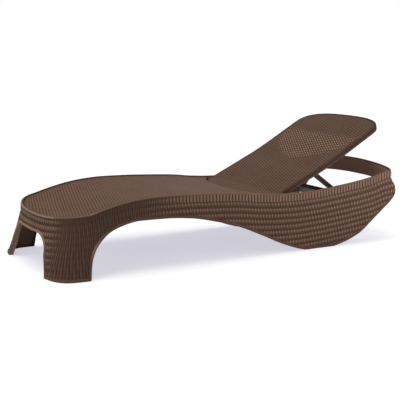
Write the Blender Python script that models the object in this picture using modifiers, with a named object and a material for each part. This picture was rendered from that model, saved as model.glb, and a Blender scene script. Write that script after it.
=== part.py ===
"""Plastic sun lounger with a woven-look body, an adjustable backrest and a prop strut.

Metres, +Z up. The foot end is at -X and the head end at +X, right is -Y, and the origin lies on the
floor under the middle of the object. The backrest stands raised, as at rest.
"""
import math
from collections import namedtuple

import bmesh
import bpy
from mathutils import Matrix, Vector

# Overall sizes of the body
SEAT_LENGTH = 1.152
WELL_LENGTH = 0.714
RIM_HALF_WIDTH = 0.349
RIM_PEAK_HEIGHT = 0.330
LEG_SPREAD = 0.041
REAR_STEP = 0.024
RAIL_CROWN = 0.026
RAIL_MIDDLE_BOTTOM = 0.302

# Wall, rim and bead of the moulded skirt
WALL = 0.004
RIM_WIDTH = 0.016
RIM_ROUND = 0.005
BAND_HEIGHT = 0.038
BULGE_REACH = 0.055
BEAD_HEIGHT = 0.012
BEAD_OUT = 0.003
LIP_WIDTH = 0.018
SEAT_WALL_HEIGHT = 0.022
WELL_WALL_HEIGHT = 0.090
WALL_RAMP = 0.040
WALL_RAMP_SETBACK = 0.020
RAIL_WALL_RISE = 0.006

# Plan of the two ends
FOOT_ARC_DEPTH = 0.180
FOOT_RIM_EXPONENT = 2.4
FOOT_FLOOR_EXPONENT = 5.0
HEAD_ARC_DEPTH = 0.072
HEAD_RIM_EXPONENT = 4.6
HEAD_SEAM_HALF = 0.279
OPENING_HALF_WIDTH = 0.203
FOOT_SEAM_INSET = 0.098
OPENING_HEIGHT = 0.174
OPENING_RADIUS = 0.090
OPENING_EDGE_RUN = 0.044
FOOT_SPREAD = 0.030

# Seat deck and cross beams
DECK_DROP = 0.006
DECK_DISH = 0.006
DECK_THICKNESS = 0.016
SKIN = 0.004
RIB = 0.008
EDGE_RIB = 0.020
SEAM = 0.0045
DECK_CORNER_SETBACK = 0.012
DECK_BAY = 0.160
DECK_RUNS = 7
CURL_RUN = 0.060
CURL_ROWS = 3
BEAM_WIDTH = 0.050
BEAM_HEIGHT = 0.045
BEAM_BEVEL = 0.004
BEAM_CLEARANCE = 0.0006
FOOT_BEAM_REACH = 0.380
MIDDLE_BEAM_REACH = 0.730
HINGE_BEAM_SETBACK = 0.167

# Backrest
BACK_DROP = 0.004
BACK_THICKNESS = 0.020
BACK_SIDE_CLEARANCE = 0.006
BACK_REACH = 0.700
BACK_RISE = 0.1445
BACK_FRONT_DEPTH = 0.121
BACK_FRONT_EXPONENT = 2.0
BACK_TIP_DEPTH = 0.118
BACK_TIP_EXPONENT = 2.8
BACK_END_STEPS = 12
BACK_BODY_ROWS = 12
BACK_RUNS = 6
END_INSET = 0.25
NOTCH_STEP_DEG = 7.85
NOTCHES_BELOW = 2
NOTCHES_ABOVE = 4

# Hinge
HINGE_PIN_RADIUS = 0.006
HINGE_PIN_HEAD_RADIUS = 0.009
HINGE_PIN_HEAD = 0.0025
HINGE_PLATE_RADIUS = 0.0115
HINGE_PIN_REACH = 0.030
HINGE_BOSS = 0.034

# Prop strut
PIVOT_REACH = 0.271
PIVOT_DROP = 0.015
STRUT_LENGTH = 0.290
STRUT_REST_SLOPE_DEG = 36.4
STRUT_RATIO = 2.15
STRUT_INSET = 0.1325
STRUT_LEG_WIDTH = 0.030
STRUT_DEPTH = 0.020
STRUT_END = 0.009
STRUT_WEB_START = 0.215
STRUT_WEB_TAIL = 0.012
STRUT_BEVEL = 0.0025
STRUT_PIN_RADIUS = 0.005
STRUT_PIN_HEAD_RADIUS = 0.009
STRUT_PIN_HEAD = 0.004
STRUT_PIN_TAIL = 0.0015
BRACKET_THICKNESS = 0.010
BRACKET_RADIUS = 0.012
BRACKET_FOOT_WIDTH = 0.040
LUG_STEPS = 8
ROD_RADIUS = 0.007
ROD_TAIL = 0.003
ROLLER_RADIUS = 0.011
ROLLER_WIDTH = 0.018
ROLLER_INSET = 0.027

# Notch racks and their screws
RACK_WEB = 0.008
RACK_WEB_DROP = 0.036
RACK_SHELF_WIDTH = 0.050
RACK_SHELF_THICKNESS = 0.012
RACK_END = 0.014
NOTCH_DEPTH = 0.003
NOTCH_HALF_WIDTH = 0.009
NOTCH_CLEARANCE = 0.0010
NOTCH_SHARES = ((-1.0, 0.0), (-0.5, 1.0), (0.5, 1.0), (1.0, 0.0))
NOTCH_SAMPLE_DEG = 1.0
SCREW_RADIUS = 0.0025
SCREW_HEAD_RADIUS = 0.006
SCREW_HEAD = 0.003
SCREW_DROP = 0.060
SCREW_END = 0.050

# Fits and mesh
GAP = 0.0003
PIN_CLEARANCE = 0.0003
OVERRUN = 0.002
ROUND_STEPS = 24
EDGE_STEPS = 2
MERGE = 0.00001
SHARP_ANGLE_DEG = 35.0
POCKET_ROWS = 2
POCKET_COLUMNS = 2
SIDES = (("right", -1), ("left", 1))
VISIBLE = "sun_lounger"
CUTTERS = "cutters"
BACK_COLUMN_SHARES = (0.0, 0.25, 0.5, 0.75, 1.0)
DECK_COLUMN_SHARES = (0.0, 0.2, 0.4, 0.6, 0.75, 0.86, 0.925, 0.965, 1.0)

LENGTH = SEAT_LENGTH + WELL_LENGTH
FOOT_X = -LENGTH / 2
HEAD_X = LENGTH / 2
HINGE_X = FOOT_X + SEAT_LENGTH
BACK_TIP_X = HINGE_X + BACK_REACH
NOTCH_STEP = math.radians(NOTCH_STEP_DEG)
REST_ANGLE = NOTCH_STEP * NOTCHES_BELOW
STRUT_REST_SLOPE = math.radians(STRUT_REST_SLOPE_DEG)
STRUT_RATIO_WORLD = STRUT_RATIO - 1
NOTCH_SAMPLE = math.radians(NOTCH_SAMPLE_DEG)
WELL_HALF = RIM_HALF_WIDTH - RIM_WIDTH
BACK_HALF = WELL_HALF - BACK_SIDE_CLEARANCE
FOOT_RIM_X = FOOT_X + FOOT_SPREAD
FOOT_ARC_X = FOOT_RIM_X + FOOT_ARC_DEPTH
HEAD_RIM_X = HEAD_X - REAR_STEP - BEAD_OUT
HEAD_ARC_X = HEAD_RIM_X - HEAD_ARC_DEPTH
FRONT_END_HALF = OPENING_HALF_WIDTH + OPENING_EDGE_RUN + BEAD_HEIGHT
FOOT_SEAM_HALF = OPENING_HALF_WIDTH - FOOT_SEAM_INSET
STRUT_HALF_WIDTH = RIM_HALF_WIDTH - STRUT_INSET
FLOOR_HALF_WIDTH = RIM_HALF_WIDTH + LEG_SPREAD

# Height of the rim along the length, as shares of the length and of the seat's peak
RIM_HEIGHT_SHARES = (
    (0.0000, 0.748), (0.0161, 0.758), (0.0516, 0.800), (0.0898, 0.832), (0.1323, 0.894),
    (0.1801, 0.953), (0.2242, 0.985), (0.2731, 1.000), (0.3371, 0.994), (0.4100, 0.975),
    (0.4930, 0.942), (0.5511, 0.902), (0.6140, 0.877), (0.6613, 0.870), (0.7172, 0.882),
    (0.7882, 0.918), (0.8995, 1.002), (0.9452, 1.070), (0.9624, 1.084), (1.0000, 1.094),
)
# Lower edge of the side, from the leg's rear edge over the arch to the floor and up the tail
BOTTOM_SHARES = (
    (0.0000, 0.000), (0.0870, 0.000), (0.0913, 0.145), (0.0952, 0.248), (0.1052, 0.379),
    (0.1203, 0.485), (0.1390, 0.573), (0.1654, 0.639), (0.2190, 0.697), (0.2903, 0.691),
    (0.3591, 0.655), (0.4172, 0.585), (0.4892, 0.467), (0.5575, 0.306), (0.6301, 0.121),
    (0.6849, 0.018), (0.7000, 0.000), (0.7849, 0.000), (0.8086, 0.027), (0.8613, 0.142),
    (0.9134, 0.388), (0.9667, 0.658), (0.9882, 0.773), (1.0000, 0.900),
)
# Rise of the lowered backrest along its reach, as shares of its whole rise
BACK_RISE_SHARES = ((0.000, 0.000), (0.045, 0.035), (0.231, 0.183), (0.434, 0.350), (0.677, 0.625),
                    (0.844, 0.827), (0.982, 0.982), (1.100, 1.110))
# How far the side leans out at floor level, as shares of the leg's spread
SPREAD_SHARES = ((0.00, 1.00), (0.13, 1.00), (0.25, 0.80), (0.40, 0.35), (0.50, 0.00),
                 (0.62, -0.30), (0.75, -0.46), (1.00, -0.46))
# How far the hull swells below the rim band, as shares of the step at the rear
BULGE_SHARES = ((0.00, 0.00), (0.30, 0.00), (0.50, 0.12), (0.65, 0.28), (0.80, 0.45), (0.90, 0.65),
                (0.96, 0.88), (1.00, 1.00))
# Exponent of the lean along the length
LEAN_SHARES = ((0.00, 1.0), (0.20, 1.2), (0.50, 1.8), (0.70, 2.2), (1.00, 2.2))
FOOT_MIDDLE_LEAN = 0.55
SIDE_ROW_SHARES = (0.08, 0.18, 0.34, 0.54, 0.76, 1.00)
RAIL_HALF_SHARES = (0.0, 0.25, 0.5, 0.75)
APRON_HALF_SHARES = (0.0, 0.32, 0.68)
ARCH_ANGLES_DEG = (0.0, 30.0, 60.0, 90.0)
STATION_STEP = 0.050
CORNER_STEPS = 8
HEAD_CORNER_STEPS = 7

Station = namedtuple("Station", "x y nx ny dx dy top bottom lip bead bulge lean wall")

# Colour, roughness and metal share of each finish
FINISHES = {
    "side": ((0.085, 0.050, 0.033), 0.50, 0.0),
    "seat": ((0.150, 0.100, 0.072), 0.50, 0.0),
    "inner": ((0.060, 0.037, 0.026), 0.50, 0.0),
    "metal": ((0.420, 0.410, 0.400), 0.35, 1.0),
}


def smooth(table, share):
    """Value of a table of points at a share, on a curve that keeps each stretch's rise or fall."""
    if share <= table[0][0]:
        return table[0][1]
    if share >= table[-1][0]:
        return table[-1][1]
    steps = [(b[0] - a[0], (b[1] - a[1]) / (b[0] - a[0])) for a, b in zip(table, table[1:])]

    def slope(i):
        if i == 0 or i == len(table) - 1:
            return 0.0
        (h0, s0), (h1, s1) = steps[i - 1], steps[i]
        if s0 * s1 <= 0:
            return 0.0
        w0, w1 = 2 * h1 + h0, h1 + 2 * h0
        return (w0 + w1) / (w0 / s0 + w1 / s1)

    i = next(k for k in range(len(steps)) if share <= table[k + 1][0])
    h = steps[i][0]
    t = (share - table[i][0]) / h
    a, b = table[i][1], table[i + 1][1]
    return ((1 + 2 * t) * (1 - t) ** 2 * a + t * (1 - t) ** 2 * h * slope(i)
            + t * t * (3 - 2 * t) * b + t * t * (t - 1) * h * slope(i + 1))


def length_share(x):
    return (x - FOOT_X) / LENGTH


def rim_height(x):
    return RIM_PEAK_HEIGHT * smooth(RIM_HEIGHT_SHARES, length_share(x))


def side_bottom(x):
    return RIM_PEAK_HEIGHT * smooth(BOTTOM_SHARES, length_share(x))


def opening_bottom(y):
    """Lower edge of the foot end: an arch between the legs, and the floor under them."""
    flat = OPENING_HALF_WIDTH - OPENING_RADIUS
    if y <= flat:
        return OPENING_HEIGHT
    spring = OPENING_HEIGHT - OPENING_RADIUS
    if y <= OPENING_HALF_WIDTH:
        return spring + math.sqrt(max(0.0, OPENING_RADIUS ** 2 - (y - flat) ** 2))
    return spring * max(0.0, 1 - (y - OPENING_HALF_WIDTH) / OPENING_EDGE_RUN)


def offset_up(edge, at, width):
    """Height of the line that runs a given width above and beside an edge."""
    samples = ROUND_STEPS * 2
    shifts = [width * (2 * k / samples - 1) for k in range(samples + 1)]
    return max(edge(at + s) + math.sqrt(max(0.0, width ** 2 - s ** 2)) for s in shifts)


def superellipse_x(y, depth, half, exponent):
    return depth * max(0.0, 1 - abs(y / half) ** exponent) ** (1 / exponent)


def superellipse_y(x, depth, half, exponent):
    return half * max(0.0, 1 - abs(x / depth) ** exponent) ** (1 / exponent)


def superellipse_polar(angle, depth, half, exponent):
    c, s = abs(math.cos(angle)), abs(math.sin(angle))
    radius = ((c / depth) ** exponent + (s / half) ** exponent) ** (-1 / exponent)
    return radius * c, radius * s


def superellipse_normal(x, y, depth, half, exponent):
    n = Vector(((abs(x) / depth) ** (exponent - 1) / depth, (abs(y) / half) ** (exponent - 1) / half))
    return n.normalized()


def floor_arc_depth():
    """Depth of the floor-level arc that brings the leg's front corner out to the foot end."""
    inner = OPENING_HALF_WIDTH + OPENING_EDGE_RUN
    corner = superellipse_x(inner, 1, FLOOR_HALF_WIDTH, FOOT_FLOOR_EXPONENT)
    return (FOOT_ARC_X - FOOT_X - BEAD_OUT) / corner


FLOOR_ARC_DEPTH = floor_arc_depth()
FOOT_RIM = (FOOT_ARC_DEPTH, RIM_HALF_WIDTH, FOOT_RIM_EXPONENT)
FOOT_FLOOR = (FLOOR_ARC_DEPTH, FLOOR_HALF_WIDTH, FOOT_FLOOR_EXPONENT)
HEAD_RIM = (HEAD_ARC_DEPTH, RIM_HALF_WIDTH, HEAD_RIM_EXPONENT)


def wall_height(x, top, bottom):
    """Depth of the rim's inner wall: shallow beside the seat, deep beside the backrest."""
    start = HINGE_X - WALL_RAMP - WALL_RAMP_SETBACK
    t = min(1.0, max(0.0, (x - start) / WALL_RAMP))
    depth = SEAT_WALL_HEIGHT + (WELL_WALL_HEIGHT - SEAT_WALL_HEIGHT) * t
    return min(depth, top - bottom - RAIL_WALL_RISE)


def foot_station(y):
    """Station on the foot end's front, at one distance from the middle."""
    rim = superellipse_x(y, *FOOT_RIM)
    floor = superellipse_x(y, *FOOT_FLOOR)
    x = FOOT_ARC_X - rim
    n = superellipse_normal(rim, y, *FOOT_RIM) if y > FOOT_SEAM_HALF + GAP else Vector((1, 0))
    bottom = opening_bottom(y)
    lean = FOOT_MIDDLE_LEAN + (1 - FOOT_MIDDLE_LEAN) * (y / FRONT_END_HALF) ** 2
    top = rim_height(x)
    return Station(x, y, -n.x, n.y, rim - floor, 0, top, bottom,
                   offset_up(opening_bottom, y, WALL), offset_up(opening_bottom, y, BEAD_HEIGHT),
                   0, lean, wall_height(x, top, bottom))


def corner_stations():
    """Stations round the leg's front corner, where rim and floor line fan apart."""
    end_x = leg_bead_x()
    spans = []
    for curve in (FOOT_RIM, FOOT_FLOOR):
        first = math.atan2(FRONT_END_HALF, superellipse_x(FRONT_END_HALF, *curve))
        side = superellipse_y(FOOT_ARC_X - end_x, *curve)
        spans.append((curve, first, math.atan2(side, FOOT_ARC_X - end_x)))
    found = []
    for k in range(1, CORNER_STEPS):
        points = []
        for curve, first, last in spans:
            points.append(superellipse_polar(first + (last - first) * k / CORNER_STEPS, *curve))
        (rx, ry), (fx, fy) = points
        n = superellipse_normal(rx, ry, *FOOT_RIM)
        x = FOOT_ARC_X - rx
        top = rim_height(x)
        found.append(Station(x, ry, -n.x, n.y, rx - fx, fy - ry, top, 0, WALL, BEAD_HEIGHT, 0, 1.0,
                             wall_height(x, top, 0)))
    return found


def leg_rear_x():
    return FOOT_X + LENGTH * BOTTOM_SHARES[1][0]


def leg_bead_x():
    return leg_rear_x() - BEAD_HEIGHT


def side_station(x):
    """Station on the straight side, or on the arcs where they run beside it."""
    share = length_share(x)
    bulge = REAR_STEP * smooth(BULGE_SHARES, share)
    y = RIM_HALF_WIDTH
    n = Vector((0, 1))
    spread = LEG_SPREAD * smooth(SPREAD_SHARES, share) - bulge
    if x < FOOT_ARC_X:
        y = superellipse_y(FOOT_ARC_X - x, *FOOT_RIM)
        n = superellipse_normal(FOOT_ARC_X - x, y, *FOOT_RIM)
        n.x = -n.x
        spread = superellipse_y(FOOT_ARC_X - x, *FOOT_FLOOR) - y
    top = rim_height(x)
    bottom = side_bottom(x)
    return Station(x, y, n.x, n.y, 0, spread, top, bottom, offset_up(side_bottom, x, WALL),
                   offset_up(side_bottom, x, BEAD_HEIGHT), bulge, smooth(LEAN_SHARES, share),
                   wall_height(x, top, bottom))


def head_station(out, y, corner):
    """Station on the head end's arc, from its reach behind the arc's centre and its place across."""
    n = superellipse_normal(out, y, *HEAD_RIM) if corner else Vector((1, 0))
    x = HEAD_ARC_X + out
    bulge = REAR_STEP * smooth(BULGE_SHARES, length_share(x + REAR_STEP + BEAD_OUT))
    top = rim_height(x) + RAIL_CROWN * (1 - (y / RIM_HALF_WIDTH) ** 2)
    bottom = side_bottom(x + n.x * (bulge + BEAD_OUT))
    if not corner:
        fall = RAIL_MIDDLE_BOTTOM - head_seam_bottom()
        bottom = RAIL_MIDDLE_BOTTOM - fall * (y / HEAD_SEAM_HALF) ** 2
    spread = LEG_SPREAD * smooth(SPREAD_SHARES, 1) - bulge
    return Station(x, y, n.x, n.y, n.x * spread, n.y * spread, top, bottom, bottom + WALL,
                   bottom + BEAD_HEIGHT, bulge, smooth(LEAN_SHARES, 1), wall_height(x, top, bottom))


def head_seam_bottom():
    reach = HEAD_ARC_X + superellipse_x(HEAD_SEAM_HALF, *HEAD_RIM)
    return side_bottom(reach + REAR_STEP + BEAD_OUT)


def rail_stations():
    """Stations across the head end's rail, from the left seam to the right one."""
    last = HEAD_SEAM_HALF - GAP / 2
    half = [last * s for s in RAIL_HALF_SHARES] + [last]
    return [head_station(superellipse_x(y, *HEAD_RIM), y, False) for y in half]


def shell_stations():
    """Stations of one side moulding, from the head seam round the leg to the foot seam."""
    seam = HEAD_SEAM_HALF + GAP / 2
    found = [head_station(superellipse_x(seam, *HEAD_RIM), seam, False)]
    first = math.atan2(seam, superellipse_x(seam, *HEAD_RIM))
    last = math.pi / 2
    for k in range(1, HEAD_CORNER_STEPS):
        out, y = superellipse_polar(first + (last - first) * k / HEAD_CORNER_STEPS, *HEAD_RIM)
        found.append(head_station(out, y, True))
    found += [side_station(x) for x in side_places()]
    found += reversed(corner_stations())
    flat = OPENING_HALF_WIDTH - OPENING_RADIUS
    arch = [flat + OPENING_RADIUS * math.sin(math.radians(a)) for a in ARCH_ANGLES_DEG]
    edge = OPENING_HALF_WIDTH + OPENING_EDGE_RUN
    front = [FRONT_END_HALF, edge + WALL, edge] + arch[::-1] + [FOOT_SEAM_HALF + GAP / 2]
    return found + [foot_station(y) for y in front]


def side_places():
    """Places of the side's stations, from the head arc to the leg's front corner."""
    marks = [FOOT_X + LENGTH * s for s, _ in BOTTOM_SHARES]
    marks = [m for m in marks if leg_rear_x() - GAP < m < HEAD_ARC_X - STATION_STEP / 2]
    marks = sorted(marks + [leg_bead_x(), leg_rear_x() - WALL, HEAD_ARC_X, wall_ramp_end()])
    found = [marks[-1]]
    for a, b in zip(marks, marks[1:]):
        pieces = math.ceil((b - a) / STATION_STEP)
        found += [a + (b - a) * k / pieces for k in range(pieces)]
    return sorted(found, reverse=True)


def wall_ramp_end():
    return HINGE_X - WALL_RAMP_SETBACK


def apron_stations():
    last = FOOT_SEAM_HALF - GAP / 2
    return [foot_station(y) for y in [last * s for s in APRON_HALF_SHARES] + [last]]


def swell(station, z):
    """Outward swell of the hull's wall at one height, besides its lean."""
    share = min(1.0, max(0.0, station.top - BAND_HEIGHT - z) / BULGE_REACH)
    return station.bulge * share * share * (3 - 2 * share)


def upright(station, out, z, side):
    """Point a distance outside the rim's line, at one height."""
    return Vector((station.x + station.nx * out, side * (station.y + station.ny * out), z))


def hull_point(station, out, z, side):
    """Point a distance outside the hull's wall, which leans and swells below the band."""
    below = max(0.0, station.top - BAND_HEIGHT - z) / (station.top - BAND_HEIGHT)
    lean = below ** station.lean
    point = upright(station, out + swell(station, z), z, side)
    return point + Vector((station.dx * lean, side * station.dy * lean, 0))


def skirt_section(station, side):
    """Closed outline of the skirt's wall at one station, over the rim, down the side and back inside."""
    top = station.top
    band = top - BAND_HEIGHT
    inner_foot = top - station.wall
    rim = [(-RIM_WIDTH, inner_foot), (-RIM_WIDTH, top - RIM_ROUND), (RIM_ROUND - RIM_WIDTH, top),
           (-RIM_ROUND, top), (0, top - RIM_ROUND)]
    points = [(0, band)]
    points += [(0, band + (station.bead - band) * s) for s in SIDE_ROW_SHARES]
    points += [(BEAD_OUT, station.bead), (BEAD_OUT, station.bottom)]
    points += [(-LIP_WIDTH, station.bottom), (-LIP_WIDTH, station.lip), (-WALL, station.lip)]
    points += [(-WALL, band + (station.lip - band) * s) for s in reversed(SIDE_ROW_SHARES[:-1])]
    points += [(-WALL, band)]
    inside = [(-WALL, top - WALL), (WALL - RIM_WIDTH, top - WALL), (WALL - RIM_WIDTH, inner_foot)]
    return ([upright(station, out, z, side) for out, z in rim]
            + [hull_point(station, out, z, side) for out, z in points]
            + [upright(station, out, z, side) for out, z in inside])


def link(obj, material, parent=None, collection=VISIBLE):
    """Put an object in its collection with its material, under its parent's axis."""
    bpy.data.collections[collection].objects.link(obj)
    if material:
        obj.data.materials.clear()
        obj.data.materials.append(bpy.data.materials[material])
    if parent:
        obj.parent = parent
    return obj


def mesh_object(name, bm, material, parent=None, collection=VISIBLE):
    """Make an object from a closed bmesh, with its faces turned outwards."""
    bmesh.ops.recalc_face_normals(bm, faces=bm.faces)
    mesh = bpy.data.meshes.new(name)
    bm.to_mesh(mesh)
    bm.free()
    obj = bpy.data.objects.new(name, mesh)
    link(obj, material, parent, collection)
    mesh.shade_smooth()
    mesh.set_sharp_from_angle(angle=math.radians(SHARP_ANGLE_DEG))
    return obj


def add_loft(bm, rings):
    """Join closed outlines of equal count into one solid, with a face over each end."""
    rows = [[bm.verts.new(p) for p in ring] for ring in rings]
    count = len(rows[0])
    for a, b in zip(rows, rows[1:]):
        for j in range(count):
            bm.faces.new((a[j], a[(j + 1) % count], b[(j + 1) % count], b[j]))
    bm.faces.new(rows[0])
    bm.faces.new(reversed(rows[-1]))


def add_sheet(bm, grid, thickness):
    """Add a thick sheet under a grid of top points."""
    top = [[bm.verts.new(p) for p in row] for row in grid]
    low = [[bm.verts.new(Vector((p.x, p.y, p.z - thickness))) for p in row] for row in grid]
    rows, columns = len(grid), len(grid[0])
    for i in range(rows - 1):
        for j in range(columns - 1):
            bm.faces.new((top[i][j], top[i + 1][j], top[i + 1][j + 1], top[i][j + 1]))
            bm.faces.new((low[i][j], low[i][j + 1], low[i + 1][j + 1], low[i + 1][j]))
    around = ([(0, j) for j in range(columns)] + [(i, -1) for i in range(1, rows)]
              + [(-1, j) for j in range(columns - 2, -1, -1)] + [(i, 0) for i in range(rows - 2, 0, -1)])
    rim_top = [top[i][j] for i, j in around]
    rim_low = [low[i][j] for i, j in around]
    for k in range(len(rim_top)):
        n = (k + 1) % len(rim_top)
        bm.faces.new((rim_top[k], rim_top[n], rim_low[n], rim_low[k]))


def cut(obj, cutter):
    """Cut a solid with a hidden cutter."""
    modifier = obj.modifiers.new("cut", "BOOLEAN")
    modifier.operation = "DIFFERENCE"
    modifier.solver = "EXACT"
    modifier.object = cutter
    cutter.hide_render = True
    cutter.display_type = "WIRE"


def cylinder_cutter(name, radius, centre, half_length, parent=None):
    """Make a cutter cylinder that lies along Y."""
    bm = bmesh.new()
    turn = Matrix.Rotation(math.pi / 2, 4, "X")
    bmesh.ops.create_cone(bm, cap_ends=True, segments=ROUND_STEPS, radius1=radius, radius2=radius,
                          depth=2 * half_length, matrix=Matrix.Translation(centre) @ turn)
    return mesh_object(name, bm, None, parent, CUTTERS)


def turned(name, profile, material, place_at, side, parent=None, closed=False):
    """Turn a profile of radius and height about an axis that lies along Y, outwards on its side."""
    mesh = bpy.data.meshes.new(name)
    count = len(profile)
    edges = [(i, i + 1) for i in range(count - 1)] + ([(count - 1, 0)] if closed else [])
    mesh.from_pydata([(r, 0, h) for r, h in profile], edges, [])
    obj = bpy.data.objects.new(name, mesh)
    link(obj, material, parent)
    obj.location = place_at
    obj.rotation_euler = (-side * math.pi / 2, 0, 0)
    screw = obj.modifiers.new("turn", "SCREW")
    screw.axis = "Z"
    screw.steps = ROUND_STEPS
    screw.render_steps = ROUND_STEPS
    screw.use_merge_vertices = True
    screw.merge_threshold = MERGE
    screw.use_smooth_shade = True
    return obj


def skirt_solid(name, stations_and_sides, material):
    bm = bmesh.new()
    add_loft(bm, [skirt_section(station, side) for station, side in stations_and_sides])
    return mesh_object(name, bm, material)


def across(half):
    """Stations of a piece that runs across the middle, from the left seam to the right one."""
    return [(s, 1) for s in reversed(half)] + [(s, -1) for s in half[1:]]


def make_skirt():
    for label, side in SIDES:
        skirt_solid("side_shell_" + label, [(s, side) for s in shell_stations()], "side")
    skirt_solid("foot_apron", across(apron_stations()), "side")
    skirt_solid("head_rail", across(rail_stations()), "side")


def back_front_edge(y, clear):
    """Place of the backrest's curved front edge, with a clearance ahead of it."""
    half = BACK_HALF + clear
    return HINGE_X - superellipse_x(min(abs(y), half), BACK_FRONT_DEPTH + clear, half, BACK_FRONT_EXPONENT)


def deck_end(y):
    limit = WELL_HALF - DECK_CORNER_SETBACK
    return back_front_edge(min(abs(y), limit), SEAM)


def deck_row(x):
    """Row of the seat deck at one place: the place, the half width, the rim's height and the curl."""
    half = RIM_HALF_WIDTH if x > FOOT_ARC_X else superellipse_y(FOOT_ARC_X - x, *FOOT_RIM)
    return x, half - RIM_WIDTH - GAP, rim_height(x), 0.0


def station_row(s):
    """Row of the seat deck along the rim's inner wall at one of the skirt's stations."""
    offset = RIM_WIDTH + GAP
    return s.x - s.nx * offset, s.y - s.ny * offset, s.top, 0.0


def deck_rows():
    """Rows of the seat deck from its rear edge, which curls round the backrest, to the foot."""
    rear = deck_end(0)
    rows = [deck_row(rear - CURL_RUN * k / CURL_ROWS)[:3] + (1 - k / CURL_ROWS,) for k in range(CURL_ROWS)]
    start = rear - CURL_RUN
    steps = math.ceil((start - FOOT_ARC_X) / STATION_STEP)
    rows += [deck_row(start + (FOOT_ARC_X - start) * k / steps) for k in range(steps)]
    rows += [station_row(side_station(x)) for x in side_places() if x < FOOT_ARC_X - GAP]
    rows += [station_row(s) for s in reversed(corner_stations())]
    return rows + [station_row(foot_station(y)) for y in deck_front_places()]


def deck_front_places():
    shell_last = FOOT_SEAM_HALF + GAP / 2
    flat = OPENING_HALF_WIDTH - OPENING_RADIUS
    apron_last = FOOT_SEAM_HALF - GAP / 2
    return [FRONT_END_HALF, flat, shell_last, apron_last] + [apron_last * s for s in APRON_HALF_SHARES[:0:-1]]


def deck_point(row, y, depth):
    x, half, top, curl = row
    if curl:
        x += curl * (deck_end(y) - deck_end(0))
        top = rim_height(x)
    v = y / half
    return Vector((x, y, top - DECK_DROP - DECK_DISH * (1 - v * v) - depth))


def full_grid(rows, point, shares):
    """Grid of top points over rows, at shares of each row's half width on both sides of the middle."""
    signed = [-s for s in reversed(shares)] + list(shares[1:])
    return [[point(row, s * row[1], 0) for s in signed] for row in rows]


def bay_grid(rows, point, low, high):
    """Grid of a pocket's roof over rows, between two distances from the middle."""
    span = high - low
    return [[point(row, low + span * k / POCKET_COLUMNS, SKIN) for k in range(POCKET_COLUMNS + 1)]
            for row in rows]


def pockets_under(name, row_at, point, bays, span, runs, depth, parent=None):
    """Cutter for the pockets under a panel: bays across it, in a number of runs along it."""
    bm = bmesh.new()
    first, last = span
    pitch = (last - first + RIB) / runs
    for k in range(runs):
        low = first + pitch * k
        rows = [row_at(low + (pitch - RIB) * i / POCKET_ROWS) for i in range(POCKET_ROWS + 1)]
        limit = min(row[1] for row in rows) - EDGE_RIB
        for near, far in bays:
            if limit > near + EDGE_RIB:
                for side in (-1, 1):
                    ends = sorted((side * near, side * min(far, limit)))
                    add_sheet(bm, bay_grid(rows, point, *ends), depth)
    return mesh_object(name, bm, None, parent, CUTTERS)


def make_deck():
    """Seat panel, with ribs left standing between pockets on its underside."""
    rows = deck_rows()
    bm = bmesh.new()
    add_sheet(bm, full_grid(rows, deck_point, DECK_COLUMN_SHARES), DECK_THICKNESS)
    deck = mesh_object("seat_deck", bm, "seat")
    bays = ((RIB / 2, DECK_BAY), (DECK_BAY + RIB, WELL_HALF))
    span = (FOOT_RIM_X + RIM_WIDTH + EDGE_RIB, deck_end(0) - EDGE_RIB)
    cut(deck, pockets_under("seat_deck_pockets", deck_row, deck_point, bays, span, DECK_RUNS, DECK_THICKNESS))


def make_beams():
    """Beams under the seat, each with its top along the deck's underside."""
    half = RIM_HALF_WIDTH - WALL - GAP
    places = (("foot", FOOT_X + FOOT_BEAM_REACH), ("middle", FOOT_X + MIDDLE_BEAM_REACH),
              ("hinge", HINGE_X - HINGE_BEAM_SETBACK))
    for label, x in places:
        bm = bmesh.new()
        top = DECK_DROP + DECK_DISH + DECK_THICKNESS + BEAM_CLEARANCE
        outline = []
        for end in (-1, 1):
            edge = x + end * BEAM_WIDTH / 2
            outline.append((edge, rim_height(edge) - top))
        low = min(z for _, z in outline) - BEAM_HEIGHT
        corners = [outline[0], outline[1], (outline[1][0], low), (outline[0][0], low)]
        add_loft(bm, [[Vector((cx, side * half, cz)) for cx, cz in corners] for side in (-1, 1)])
        beam = mesh_object("cross_beam_" + label, bm, "inner")
        round_edges(beam, BEAM_BEVEL)


def round_edges(obj, width):
    bevel = obj.modifiers.new("round", "BEVEL")
    bevel.width = width
    bevel.segments = EDGE_STEPS
    bevel.limit_method = "ANGLE"


def back_top(x):
    """Height of the lowered backrest's top surface: level with the seat, then rising to the head rail."""
    if x < HINGE_X:
        return rim_height(x) - BACK_DROP
    return rim_height(HINGE_X) - BACK_DROP + BACK_RISE * smooth(BACK_RISE_SHARES, (x - HINGE_X) / BACK_REACH)


HINGE_Z = rim_height(HINGE_X) - BACK_DROP - BACK_THICKNESS / 2
HINGE_POINT = Vector((HINGE_X, 0, HINGE_Z))


def back_half(x):
    """Half width of the backrest at one place along its length."""
    if x < HINGE_X:
        return superellipse_y(HINGE_X - x, BACK_FRONT_DEPTH, BACK_HALF, BACK_FRONT_EXPONENT)
    bend = BACK_TIP_X - BACK_TIP_DEPTH
    if x > bend:
        return superellipse_y(x - bend, BACK_TIP_DEPTH, BACK_HALF, BACK_TIP_EXPONENT)
    return BACK_HALF


def back_row(x):
    return x, back_half(x)


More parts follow.
